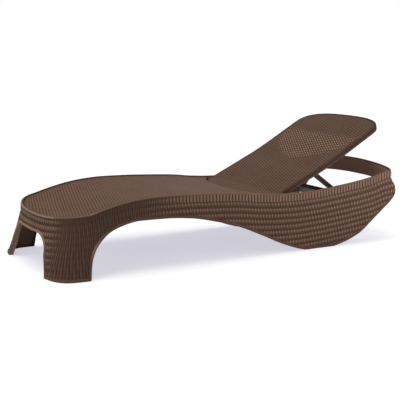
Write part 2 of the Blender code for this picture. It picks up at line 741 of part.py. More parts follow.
def back_rows():
    """Rows of the backrest from its front edge to its tip, closer together round both ends."""
    bend = BACK_TIP_X - BACK_TIP_DEPTH
    turns = [math.pi / 2 * (k + END_INSET) / BACK_END_STEPS for k in range(BACK_END_STEPS)]
    front = [HINGE_X - BACK_FRONT_DEPTH * math.cos(a) for a in turns]
    body = [HINGE_X + (bend - HINGE_X) * k / BACK_BODY_ROWS for k in range(BACK_BODY_ROWS + 1)]
    tip = [bend + BACK_TIP_DEPTH * math.cos(a) for a in reversed(turns)]
    return [back_row(x) for x in front + body + tip]


def back_point(row, y, depth):
    return Vector((row[0], y, back_top(row[0]) - depth)) - HINGE_POINT


def make_axis(name, location, angle, parent=None):
    """Empty on a joint's axis. A positive angle raises what it carries."""
    empty = bpy.data.objects.new(name, None)
    bpy.data.collections[VISIBLE].objects.link(empty)
    empty.location = location
    empty.rotation_euler = (0, -angle, 0)
    empty.parent = parent
    return empty


def make_backrest(axis):
    """Backrest panel with ribs between the pockets on its underside, and bores for the hinge pins."""
    bm = bmesh.new()
    add_sheet(bm, full_grid(back_rows(), back_point, BACK_COLUMN_SHARES), BACK_THICKNESS)
    panel = mesh_object("backrest_panel", bm, "seat", axis)
    bracket_middle = STRUT_HALF_WIDTH + GAP + BRACKET_THICKNESS / 2
    bays = ((RIB / 2, bracket_middle - BRACKET_THICKNESS), (bracket_middle + BRACKET_THICKNESS, BACK_HALF))
    span = (HINGE_X + HINGE_BOSS, BACK_TIP_X - EDGE_RIB)
    pockets = pockets_under("backrest_pockets", back_row, back_point, bays, span, BACK_RUNS,
                            BACK_THICKNESS, axis)
    cut(panel, pockets)
    for label, side in SIDES:
        inner = BACK_HALF - HINGE_PIN_REACH - PIN_CLEARANCE
        outer = BACK_HALF + OVERRUN
        centre = Vector((0, side * (inner + outer) / 2, 0))
        bore = cylinder_cutter("hinge_bore_" + label, HINGE_PIN_RADIUS + PIN_CLEARANCE, centre,
                               (outer - inner) / 2, axis)
        cut(panel, bore)


def make_hinges():
    """Bearing discs and pins between the backrest and the side mouldings."""
    for label, side in SIDES:
        inner = BACK_HALF + GAP
        outer = WELL_HALF - GAP
        bore = HINGE_PIN_RADIUS + PIN_CLEARANCE
        ring = [(HINGE_PLATE_RADIUS, outer), (HINGE_PLATE_RADIUS, inner), (bore, inner), (bore, outer)]
        turned("hinge_plate_" + label, ring, "inner", HINGE_POINT, side, closed=True)
        head = WELL_HALF + WALL + GAP
        pin = [(0, head + HINGE_PIN_HEAD), (HINGE_PIN_HEAD_RADIUS, head + HINGE_PIN_HEAD),
               (HINGE_PIN_HEAD_RADIUS, head), (HINGE_PIN_RADIUS, head),
               (HINGE_PIN_RADIUS, BACK_HALF - HINGE_PIN_REACH), (0, BACK_HALF - HINGE_PIN_REACH)]
        turned("hinge_pin_" + label, pin, "metal", HINGE_POINT, side)
        centre = Vector((HINGE_X, side * (WELL_HALF + WALL / 2), HINGE_Z))
        hole = cylinder_cutter("hinge_hole_" + label, bore, centre, WALL / 2 + OVERRUN)
        cut(bpy.data.objects["side_shell_" + label], hole)


PIVOT_X = HINGE_X + PIVOT_REACH
PIVOT_SIDE = STRUT_HALF_WIDTH + GAP + BRACKET_THICKNESS / 2
PIVOT = Vector((PIVOT_REACH, 0, back_top(PIVOT_X) - BACK_THICKNESS - PIVOT_DROP - HINGE_Z))


def raised(point, angle):
    """A point of the lowered backrest, relative to the hinge, turned up by an angle."""
    return Matrix.Rotation(-angle, 3, "Y") @ point


def roller_place(angle):
    """Centre of the strut's rollers with the backrest a given angle above its rest place."""
    slope = STRUT_REST_SLOPE + STRUT_RATIO_WORLD * angle
    pivot = HINGE_POINT + raised(PIVOT, REST_ANGLE + angle)
    return pivot + STRUT_LENGTH * Vector((math.cos(slope), 0, -math.sin(slope)))


def make_brackets(axis):
    """Lugs under the backrest that carry the strut's pins."""
    for label, side in SIDES:
        near = STRUT_HALF_WIDTH + GAP
        far = near + BRACKET_THICKNESS
        outline = []
        for end in (1, -1):
            x = PIVOT_X + end * BRACKET_FOOT_WIDTH / 2
            outline.append((x - HINGE_X, back_top(x) - BACK_THICKNESS - GAP * 2 - HINGE_Z))
        for k in range(LUG_STEPS + 1):
            a = math.pi + math.pi * k / LUG_STEPS
            outline.append((PIVOT.x + BRACKET_RADIUS * math.cos(a), PIVOT.z + BRACKET_RADIUS * math.sin(a)))
        bm = bmesh.new()
        add_loft(bm, [[Vector((x, side * y, z)) for x, z in outline] for y in (near, far)])
        bracket = mesh_object("strut_bracket_" + label, bm, "inner", axis)
        centre = Vector((PIVOT.x, side * (near + far) / 2, PIVOT.z))
        bore = cylinder_cutter("bracket_bore_" + label, STRUT_PIN_RADIUS + PIN_CLEARANCE, centre,
                               BRACKET_THICKNESS / 2 + OVERRUN, axis)
        cut(bracket, bore)
        head = far + GAP
        tail = STRUT_HALF_WIDTH - STRUT_LEG_WIDTH - STRUT_PIN_TAIL
        pin = [(0, head + STRUT_PIN_HEAD), (STRUT_PIN_HEAD_RADIUS, head + STRUT_PIN_HEAD),
               (STRUT_PIN_HEAD_RADIUS, head), (STRUT_PIN_RADIUS, head), (STRUT_PIN_RADIUS, tail), (0, tail)]
        turned("strut_pin_" + label, pin, "metal", PIVOT, side, axis)


def make_strut(axis):
    """Prop strut: two legs and a web, drawn with its pivot at the origin and its foot at +X."""
    half = STRUT_HALF_WIDTH
    inner = half - STRUT_LEG_WIDTH
    tail = STRUT_LENGTH + STRUT_WEB_TAIL
    outline = [(-STRUT_END, half), (-STRUT_END, inner), (STRUT_WEB_START, inner), (STRUT_WEB_START, -inner),
               (-STRUT_END, -inner), (-STRUT_END, -half), (tail, -half), (tail, half)]
    bm = bmesh.new()
    add_loft(bm, [[Vector((x, y, z)) for x, y in outline] for z in (-STRUT_DEPTH / 2, STRUT_DEPTH / 2)])
    strut = mesh_object("prop_strut", bm, "inner", axis)
    round_edges(strut, STRUT_BEVEL)
    for label, side in SIDES:
        centre = Vector((0, side * (inner + half) / 2, 0))
        bore = cylinder_cutter("strut_bore_" + label, STRUT_PIN_RADIUS + PIN_CLEARANCE, centre,
                               STRUT_LEG_WIDTH / 2 + OVERRUN, axis)
        cut(strut, bore)
    foot = Vector((STRUT_LENGTH, 0, 0))
    cut(strut, cylinder_cutter("strut_rod_bore", ROD_RADIUS + PIN_CLEARANCE, foot, half + OVERRUN, axis))
    roller_outer = WELL_HALF - ROLLER_INSET
    rod_half = roller_outer + ROD_TAIL
    turned("strut_rod", [(0, rod_half), (ROD_RADIUS, rod_half), (ROD_RADIUS, -rod_half), (0, -rod_half)],
           "metal", foot, 1, axis)
    for label, side in SIDES:
        low = roller_outer - ROLLER_WIDTH
        bore = ROD_RADIUS + PIN_CLEARANCE
        ring = [(ROLLER_RADIUS, roller_outer), (ROLLER_RADIUS, low), (bore, low), (bore, roller_outer)]
        turned("strut_roller_" + label, ring, "inner", foot, side, axis, closed=True)


def rack_profile():
    """Top line of the rack's shelf, with a notch under each place of the rollers, from foot to head."""
    drop = ROLLER_RADIUS + NOTCH_CLEARANCE
    line = []
    for k in range(2 * (NOTCHES_ABOVE + NOTCHES_BELOW) + 1):
        angle = NOTCH_STEP * (NOTCHES_ABOVE - k / 2)
        p = roller_place(angle)
        z = p.z - drop
        if k % 2:
            line.append((p.x, z, z))
            continue
        slope_left = roller_place(angle + NOTCH_SAMPLE)
        slope_right = roller_place(angle - NOTCH_SAMPLE)
        tilt = (slope_right.z - slope_left.z) / (slope_right.x - slope_left.x)
        for share, sunk in NOTCH_SHARES:
            dx = share * NOTCH_HALF_WIDTH
            level = z + dx * tilt
            line.append((p.x + dx, level - sunk * NOTCH_DEPTH, level))
    first, last = line[0], line[-1]
    line.insert(0, (first[0] - RACK_END, first[2], first[2]))
    line.append((last[0] + RACK_END, last[2], last[2]))
    return line


def make_racks():
    """Stepped racks on the inner walls, with the screws that hold them."""
    profile = rack_profile()
    for label, side in SIDES:
        outer = WELL_HALF - GAP
        web = outer - RACK_WEB
        shelf = outer - RACK_SHELF_WIDTH
        rings = []
        for x, z, level in profile:
            low = level - NOTCH_DEPTH - RACK_SHELF_THICKNESS
            high = rim_height(x) - RACK_WEB_DROP
            corners = ((outer, low), (outer, high), (web, high), (web, z), (shelf, z), (shelf, low))
            rings.append([Vector((x, side * y, cz)) for y, cz in corners])
        bm = bmesh.new()
        add_loft(bm, rings)
        rack = mesh_object("notch_rack_" + label, bm, "inner")
        for place_label, x in (("front", profile[0][0] + SCREW_END), ("rear", profile[-1][0] - SCREW_END)):
            z = rim_height(x) - SCREW_DROP
            centre = Vector((x, side * (web + WELL_HALF + WALL) / 2, z))
            name = label + "_" + place_label
            hole = cylinder_cutter("rack_hole_" + name, SCREW_RADIUS + PIN_CLEARANCE, centre,
                                   (WELL_HALF + WALL - web) / 2 + OVERRUN)
            cut(rack, hole)
            cut(bpy.data.objects["side_shell_" + label], hole)
            head = web - GAP
            tail = WELL_HALF + WALL
            screw = [(0, tail), (SCREW_RADIUS, tail), (SCREW_RADIUS, head), (SCREW_HEAD_RADIUS, head),
                     (SCREW_HEAD_RADIUS, head - SCREW_HEAD), (0, head - SCREW_HEAD)]
            turned("rack_screw_" + name, screw, "metal", Vector((x, 0, z)), side)


def make_materials():
    """Make the four finishes that the solids carry."""
    for name, (colour, roughness, metal) in FINISHES.items():
        material = bpy.data.materials.new(name)
        material.use_nodes = True
        shader = material.node_tree.nodes["Principled BSDF"]
        shader.inputs["Base Color"].default_value = (*colour, 1)
        shader.inputs["Roughness"].default_value = roughness
        shader.inputs["Metallic"].default_value = metal


def main():
    for obj in list(bpy.data.objects):
        bpy.data.objects.remove(obj, do_unlink=True)
    for name in (VISIBLE, CUTTERS):
        bpy.context.scene.collection.children.link(bpy.data.collections.new(name))
    make_materials()
    make_skirt()
    make_deck()
    make_beams()
    make_hinges()
    make_racks()
    back_axis = make_axis("backrest_axis", HINGE_POINT, REST_ANGLE)
    make_backrest(back_axis)
    make_brackets(back_axis)
    strut_axis = make_axis("strut_axis", PIVOT, -STRUT_REST_SLOPE - REST_ANGLE, back_axis)
    make_strut(strut_axis)


main()
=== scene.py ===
"""Looks of a plastic sun lounger with woven-look mouldings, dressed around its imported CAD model.

Metres, +Z up. The foot end is at -X and the head end at +X. Right is -Y, the side nearest the camera.
"""
import logging
import math
from collections.abc import Callable
from dataclasses import dataclass, fields
from enum import Enum

import bmesh
import bpy
import numpy as np
from mathutils import Euler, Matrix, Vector


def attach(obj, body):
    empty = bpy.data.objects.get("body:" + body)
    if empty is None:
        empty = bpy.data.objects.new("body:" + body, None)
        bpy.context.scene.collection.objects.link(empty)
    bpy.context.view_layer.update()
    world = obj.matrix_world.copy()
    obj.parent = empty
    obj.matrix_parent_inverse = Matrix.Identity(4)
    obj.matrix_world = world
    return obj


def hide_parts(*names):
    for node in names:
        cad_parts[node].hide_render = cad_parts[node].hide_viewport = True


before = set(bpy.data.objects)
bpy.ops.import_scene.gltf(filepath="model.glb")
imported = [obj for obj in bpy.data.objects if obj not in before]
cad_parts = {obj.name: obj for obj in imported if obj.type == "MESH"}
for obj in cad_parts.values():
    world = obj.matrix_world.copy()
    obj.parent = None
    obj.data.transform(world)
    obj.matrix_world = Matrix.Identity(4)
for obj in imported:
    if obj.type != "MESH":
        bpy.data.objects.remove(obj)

LOG = logging.getLogger("sun_lounger")
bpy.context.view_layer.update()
MERGE = 0.00001  # points nearer to each other than this are one
NOISE_RANGE = (0.3, 0.7)  # where most values of a noise lie
MIX_FACTOR, MIX_FIRST, MIX_SECOND, MIX_COLOUR = 0, 6, 7, 2  # a Mix node's sockets for colours
WHITE = (1.0, 1.0, 1.0)

Array = np.ndarray
Material = bpy.types.Material
Piece = bpy.types.Object
Socket = bpy.types.NodeSocket
Span = tuple[float, float]
Colour = tuple[float, float, float]
Point = tuple[float, float, float]
Table = tuple[Span, ...]
Inputs = dict[str | int, object]


class Side(Enum):
    """The two long sides, by the sign of their Y."""

    RIGHT = -1
    LEFT = 1

    @property
    def label(self) -> str:
        """Name of the side as the nodes have it."""
        return self.name.lower()


class Body(Enum):
    """Bodies that the woven pieces ride on."""

    FRAME = "frame"
    BACKREST = "backrest"


class Slot(Enum):
    """Material slots of the record, named like the woven finishes."""

    WOVEN_SIDE = "woven_side"
    WOVEN_SEAT = "woven_seat"


@dataclass(frozen=True)
class Curve:
    """A table of points read as a curve that keeps each stretch's rise or fall."""

    points: Table

    def at(self, place: Array) -> Array:
        """Values of the curve.

        Args:
            place: Places along the curve.

        Returns:
            The value at each place, held at the ends beyond the table.
        """
        xs, ys = np.array(self.points).T
        run = np.diff(xs)
        rise = np.diff(ys) / run
        slope = np.zeros_like(xs)
        for i in range(1, len(xs) - 1):
            if rise[i - 1] * rise[i] > 0:
                before, after = 2 * run[i] + run[i - 1], run[i] + 2 * run[i - 1]
                slope[i] = (before + after) / (before / rise[i - 1] + after / rise[i])
        place = np.clip(place, xs[0], xs[-1])
        i = np.clip(np.searchsorted(xs, place, side="left") - 1, 0, len(run) - 1)
        t, h = (place - xs[i]) / run[i], run[i]
        return ((1 + 2 * t) * (1 - t) ** 2 * ys[i] + t * (1 - t) ** 2 * h * slope[i]
                + t * t * (3 - 2 * t) * ys[i + 1] + t * t * (t - 1) * h * slope[i + 1])


@dataclass(frozen=True)
class Oval:
    """A superellipse in plan, centred on the middle line.

    depth is its reach along X, half its reach along Y, and a higher exponent makes it squarer.
    """

    depth: float
    half: float
    exponent: float

    def x_at(self, y: Array) -> Array:
        """Reach along X at a distance from the middle."""
        return self.depth * np.maximum(0.0, 1 - np.abs(y / self.half) ** self.exponent) ** (1 / self.exponent)

    def y_at(self, x: Array) -> Array:
        """Half width at a distance from the centre along X."""
        return self.half * np.maximum(0.0, 1 - np.abs(x / self.depth) ** self.exponent) ** (1 / self.exponent)

    def polar(self, angle: Array) -> tuple[Array, Array]:
        """Point of the oval in a direction from its centre.

        Args:
            angle: The direction, from the X axis.

        Returns:
            The point's reach along X and along Y.
        """
        c, s = np.abs(np.cos(angle)), np.abs(np.sin(angle))
        sum_of_powers = (c / self.depth) ** self.exponent + (s / self.half) ** self.exponent
        radius = sum_of_powers ** (-1 / self.exponent)
        return radius * c, radius * s

    def normal(self, x: Array, y: Array) -> tuple[Array, Array]:
        """Outward direction at a point of the oval.

        Args:
            x: The point's reach along X.
            y: Its reach along Y.

        Returns:
            The direction's share along X and along Y.
        """
        nx = (np.abs(x) / self.depth) ** (self.exponent - 1) / self.depth
        ny = (np.abs(y) / self.half) ** (self.exponent - 1) / self.half
        size = np.hypot(nx, ny)
        return nx / size, ny / size

    def inset(self, by: float) -> "Oval":
        """The oval a width further in."""
        return Oval(self.depth - by, self.half - by, self.exponent)


def ease(value: Array, start: float, end: float) -> Array:
    """Smooth step from 0 at start to 1 at end."""
    t = np.clip((value - start) / (end - start), 0.0, 1.0)
    return t * t * (3 - 2 * t)


def turned(nx: Array, ny: Array, turn: Array) -> tuple[Array, Array]:
    """A direction turned from straight along X, where turn is 0, to itself, where it is 1."""
    nx, ny = 1 - (1 - nx) * turn, ny * turn
    return nx / np.hypot(nx, ny), ny / np.hypot(nx, ny)


@dataclass
class Stations:
    """Places along the skirt's rim, with what its section needs at each of them."""

    x: Array
    y: Array
    nx: Array
    ny: Array
    dx: Array
    dy: Array
    top: Array
    bottom: Array
    lip: Array
    bead: Array
    bulge: Array
    lean: Array
    wall: Array

    @staticmethod
    def joined(parts: list["Stations"]) -> "Stations":
        """One run of stations from several."""
        names = [f.name for f in fields(Stations)]
        return Stations(*[np.concatenate([getattr(p, name) for p in parts]) for name in names])

    def cut(self, keep: slice | tuple) -> "Stations":
        """The stations that an index keeps, in its order."""
        return Stations(*[getattr(self, f.name)[keep] for f in fields(self)])


@dataclass(frozen=True)
class BodyForm:
    """Form of the lounger's skirt, seat and backrest, in the sizes of the CAD model."""

    seat_length: float = 1.152
    well_length: float = 0.714
    rim_half: float = 0.349
    peak: float = 0.330
    leg_spread: float = 0.041
    rear_step: float = 0.024
    rail_crown: float = 0.026
    rail_bottom: float = 0.302
    skin: float = 0.004
    rim_width: float = 0.016
    rim_round: float = 0.005
    band: float = 0.038
    bulge_reach: float = 0.055
    bead_height: float = 0.012
    bead_out: float = 0.003
    lip_width: float = 0.018
    seat_wall: float = 0.022
    well_wall: float = 0.090
    wall_ramp: float = 0.040
    wall_setback: float = 0.020
    wall_rise: float = 0.006
    foot_arc: float = 0.180
    foot_rim_exponent: float = 2.4
    foot_floor_exponent: float = 5.0
    head_arc: float = 0.072
    head_exponent: float = 4.6
    back_front: Oval = Oval(0.121, 0.327, 2.0)
    foot_seam: float = 0.105
    head_seam: float = 0.279
    opening_half: float = 0.203
    opening_height: float = 0.174
    opening_radius: float = 0.090
    opening_run: float = 0.044
    foot_spread: float = 0.030
    foot_lean: float = 0.55
    gap: float = 0.0003
    seam_blend: float = 0.030
    bead_samples: int = 48
    rim_heights: Curve = Curve((
        (0.0000, 0.748), (0.0161, 0.758), (0.0516, 0.800), (0.0898, 0.832), (0.1323, 0.894),
        (0.1801, 0.953), (0.2242, 0.985), (0.2731, 1.000), (0.3371, 0.994), (0.4100, 0.975),
        (0.4930, 0.942), (0.5511, 0.902), (0.6140, 0.877), (0.6613, 0.870), (0.7172, 0.882),
        (0.7882, 0.918), (0.8995, 1.002), (0.9452, 1.070), (0.9624, 1.084), (1.0000, 1.094)))
    bottoms: Curve = Curve((
        (0.0000, 0.000), (0.0870, 0.000), (0.0913, 0.145), (0.0952, 0.248), (0.1052, 0.379),
        (0.1203, 0.485), (0.1390, 0.573), (0.1654, 0.639), (0.2190, 0.697), (0.2903, 0.691),
        (0.3591, 0.655), (0.4172, 0.585), (0.4892, 0.467), (0.5575, 0.306), (0.6301, 0.121),
        (0.6849, 0.018), (0.7000, 0.000), (0.7849, 0.000), (0.8086, 0.027), (0.8613, 0.142),
        (0.9134, 0.388), (0.9667, 0.658), (0.9882, 0.773), (1.0000, 0.900)))
    spreads: Curve = Curve(((0.00, 1.00), (0.13, 1.00), (0.25, 0.80), (0.40, 0.35), (0.50, 0.00),
                            (0.62, -0.30), (0.75, -0.46), (1.00, -0.46)))
    bulges: Curve = Curve(((0.00, 0.00), (0.30, 0.00), (0.50, 0.12), (0.65, 0.28), (0.80, 0.45),
                           (0.90, 0.65), (0.96, 0.88), (1.00, 1.00)))
    leans: Curve = Curve(((0.00, 1.0), (0.20, 1.2), (0.50, 1.8), (0.70, 2.2), (1.00, 2.2)))

    @property
    def length(self) -> float:
        """Whole length of the body."""
        return self.seat_length + self.well_length

    @property
    def foot_x(self) -> float:
        """Place of the foot end."""
        return -self.length / 2

    @property
    def hinge_x(self) -> float:
        """Place of the backrest's hinge."""
        return self.foot_x + self.seat_length

    @property
    def foot_arc_x(self) -> float:
        """Centre of the foot end's arc."""
        return self.foot_x + self.foot_spread + self.foot_arc

    @property
    def head_arc_x(self) -> float:
        """Centre of the head end's arc."""
        return self.length / 2 - self.rear_step - self.bead_out - self.head_arc

    @property
    def well_half(self) -> float:
        """Half the clear width between the rims."""
        return self.rim_half - self.rim_width

    @property
    def foot_rim(self) -> Oval:
        """Rim line of the foot end."""
        return Oval(self.foot_arc, self.rim_half, self.foot_rim_exponent)

    @property
    def foot_floor(self) -> Oval:
        """Floor line of the foot end.

        Returns:
            The oval that reaches the foot end where the legs begin.
        """
        half = self.rim_half + self.leg_spread
        inner = self.opening_half + self.opening_run
        corner = float(Oval(1, half, self.foot_floor_exponent).x_at(np.array(inner)))
        return Oval((self.foot_arc_x - self.foot_x - self.bead_out) / corner, half, self.foot_floor_exponent)

    @property
    def head_rim(self) -> Oval:
        """Rim line of the head end."""
        return Oval(self.head_arc, self.rim_half, self.head_exponent)

    @property
    def leg_rear(self) -> float:
        """Place of the leg's rear edge at the floor."""
        return self.foot_x + self.length * self.bottoms.points[1][0]

    @property
    def front_end(self) -> float:
        """Distance from the middle at which the foot end's front turns into the leg's corner."""
        return self.opening_half + self.opening_run + self.bead_height

    def share(self, x: Array) -> Array:
        """Share of the length at a place."""
        return (x - self.foot_x) / self.length

    def rim_height(self, x: Array) -> Array:
        """Height of the rim."""
        return self.peak * self.rim_heights.at(self.share(x))

    def side_bottom(self, x: Array) -> Array:
        """Height of the side's lower edge."""
        return self.peak * self.bottoms.at(self.share(x))

    def opening_bottom(self, y: Array) -> Array:
        """Height of the foot end's lower edge, an arch between the legs.

        Args:
            y: Distances from the middle.

        Returns:
            The height at each of them.
        """
        flat = self.opening_half - self.opening_radius
        spring = self.opening_height - self.opening_radius
        over = np.clip(y - flat, 0.0, self.opening_radius)
        arch = spring + np.sqrt(np.maximum(0.0, self.opening_radius ** 2 - over ** 2))
        leg = spring * np.clip(1 - (y - self.opening_half) / self.opening_run, 0.0, 1.0)
        return np.where(y <= self.opening_half, arch, leg)

    def lip_and_bead(self, edge: Callable[[Array], Array], at: Array) -> list[Array]:
        """Lines that run above and beside an edge, a skin's and a bead's width from it.

        Args:
            edge: Height of the edge at each place.
            at: The places.

        Returns:
            Height of the two lines at each place.
        """
        lines = []
        for width in (self.skin, self.bead_height):
            shifts = width * np.linspace(-1, 1, self.bead_samples + 1)
            rises = np.sqrt(np.maximum(0.0, width ** 2 - shifts ** 2))
            lines.append(np.max([edge(at + s) + r for s, r in zip(shifts, rises)], axis=0))
        return lines

    def wall_height(self, x: Array, top: Array, bottom: Array) -> Array:
        """Depth of the rim's inner wall: shallow beside the seat, deep beside the backrest.

        Args:
            x: Places along the lounger.
            top: Height of the rim there.
            bottom: Height of the lower edge there.

        Returns:
            The depth at each place.
        """
        start = self.hinge_x - self.wall_ramp - self.wall_setback
        t = np.clip((x - start) / self.wall_ramp, 0.0, 1.0)
        wall = self.seat_wall + (self.well_wall - self.seat_wall) * t
        return np.minimum(wall, top - bottom - self.wall_rise)

    def foot(self, y: Array) -> Stations:
        """Stations on the foot end's front.

        Args:
            y: Their distances from the middle.

        Returns:
            The stations.
        """
        rim, floor = self.foot_rim.x_at(y), self.foot_floor.x_at(y)
        nx, ny = self.foot_rim.normal(rim, y)
        nx, ny = turned(nx, ny, ease(y, self.foot_seam, self.foot_seam + self.seam_blend))
        x = self.foot_arc_x - rim
        top, bottom = self.rim_height(x), self.opening_bottom(y)
        lean = self.foot_lean + (1 - self.foot_lean) * (y / self.front_end) ** 2
        return Stations(x, y, -nx, ny, rim - floor, 0 * y, top, bottom,
                        *self.lip_and_bead(self.opening_bottom, y),
                        0 * y, lean, self.wall_height(x, top, bottom))

    def corner(self, t: Array) -> Stations:
        """Stations round the leg's front corner.

        Args:
            t: Their places, from 0 at the front to 1 at the leg's rear edge.

        Returns:
            The stations.
        """
        points = []
        reach = self.foot_arc_x - (self.leg_rear - self.bead_height)
        for curve in (self.foot_rim, self.foot_floor):
            first = np.arctan2(self.front_end, curve.x_at(np.array(self.front_end)))
            last = np.arctan2(curve.y_at(np.array(reach)), reach)
            points.append(curve.polar(first + (last - first) * t))
        (rx, ry), (fx, fy) = points
        nx, ny = self.foot_rim.normal(rx, ry)
        x = self.foot_arc_x - rx
        top, zero = self.rim_height(x), 0 * t
        return Stations(x, ry, -nx, ny, rx - fx, fy - ry, top, zero, zero + self.skin,
                        zero + self.bead_height, zero, zero + 1.0, self.wall_height(x, top, zero))

    def side(self, x: Array) -> Stations:
        """Stations on the long side, and on the foot end's arc where it runs beside it.

        Args:
            x: Their places along the lounger.

        Returns:
            The stations.
        """
        share = self.share(x)
        bulge = self.rear_step * self.bulges.at(share)
        spread = self.leg_spread * self.spreads.at(share) - bulge
        reach = np.maximum(0.0, self.foot_arc_x - x)
        y = self.foot_rim.y_at(reach)
        nx, ny = self.foot_rim.normal(reach, y)
        spread = np.where(reach > 0, self.foot_floor.y_at(reach) - y, spread)
        top, bottom = self.rim_height(x), self.side_bottom(x)
        return Stations(x, y, -nx, ny, 0 * x, spread, top, bottom,
                        *self.lip_and_bead(self.side_bottom, x),
                        bulge, self.leans.at(share), self.wall_height(x, top, bottom))

    def head(self, out: Array, y: Array, turn: Array) -> Stations:
        """Stations on the head end's arc.

        Args:
            out: Reach behind the arc's centre.
            y: Distance from the middle.
            turn: How far the section faces as the arc does, from 0 where it faces straight back to 1.

        Returns:
            The stations.
        """
        nx, ny = turned(*self.head_rim.normal(np.maximum(out, MERGE), y), turn)
        x = self.head_arc_x + out
        bulge = self.rear_step * self.bulges.at(self.share(x + self.rear_step + self.bead_out))
        top = self.rim_height(x) + self.rail_crown * (1 - (y / self.rim_half) ** 2)
        seam_reach = self.head_arc_x + self.head_rim.x_at(np.array(self.head_seam))
        seam_bottom = float(self.side_bottom(seam_reach + self.rear_step + self.bead_out))
        rail = self.rail_bottom - (self.rail_bottom - seam_bottom) * (y / self.head_seam) ** 2
        bottom = np.where(y < self.head_seam, rail, self.side_bottom(x + nx * (bulge + self.bead_out)))
        spread = self.leg_spread * self.spreads.points[-1][1] - bulge
        return Stations(x, y, nx, ny, nx * spread, ny * spread, top, bottom, bottom + self.skin,
                        bottom + self.bead_height, bulge, 0 * x + self.leans.points[-1][1],
                        self.wall_height(x, top, bottom))


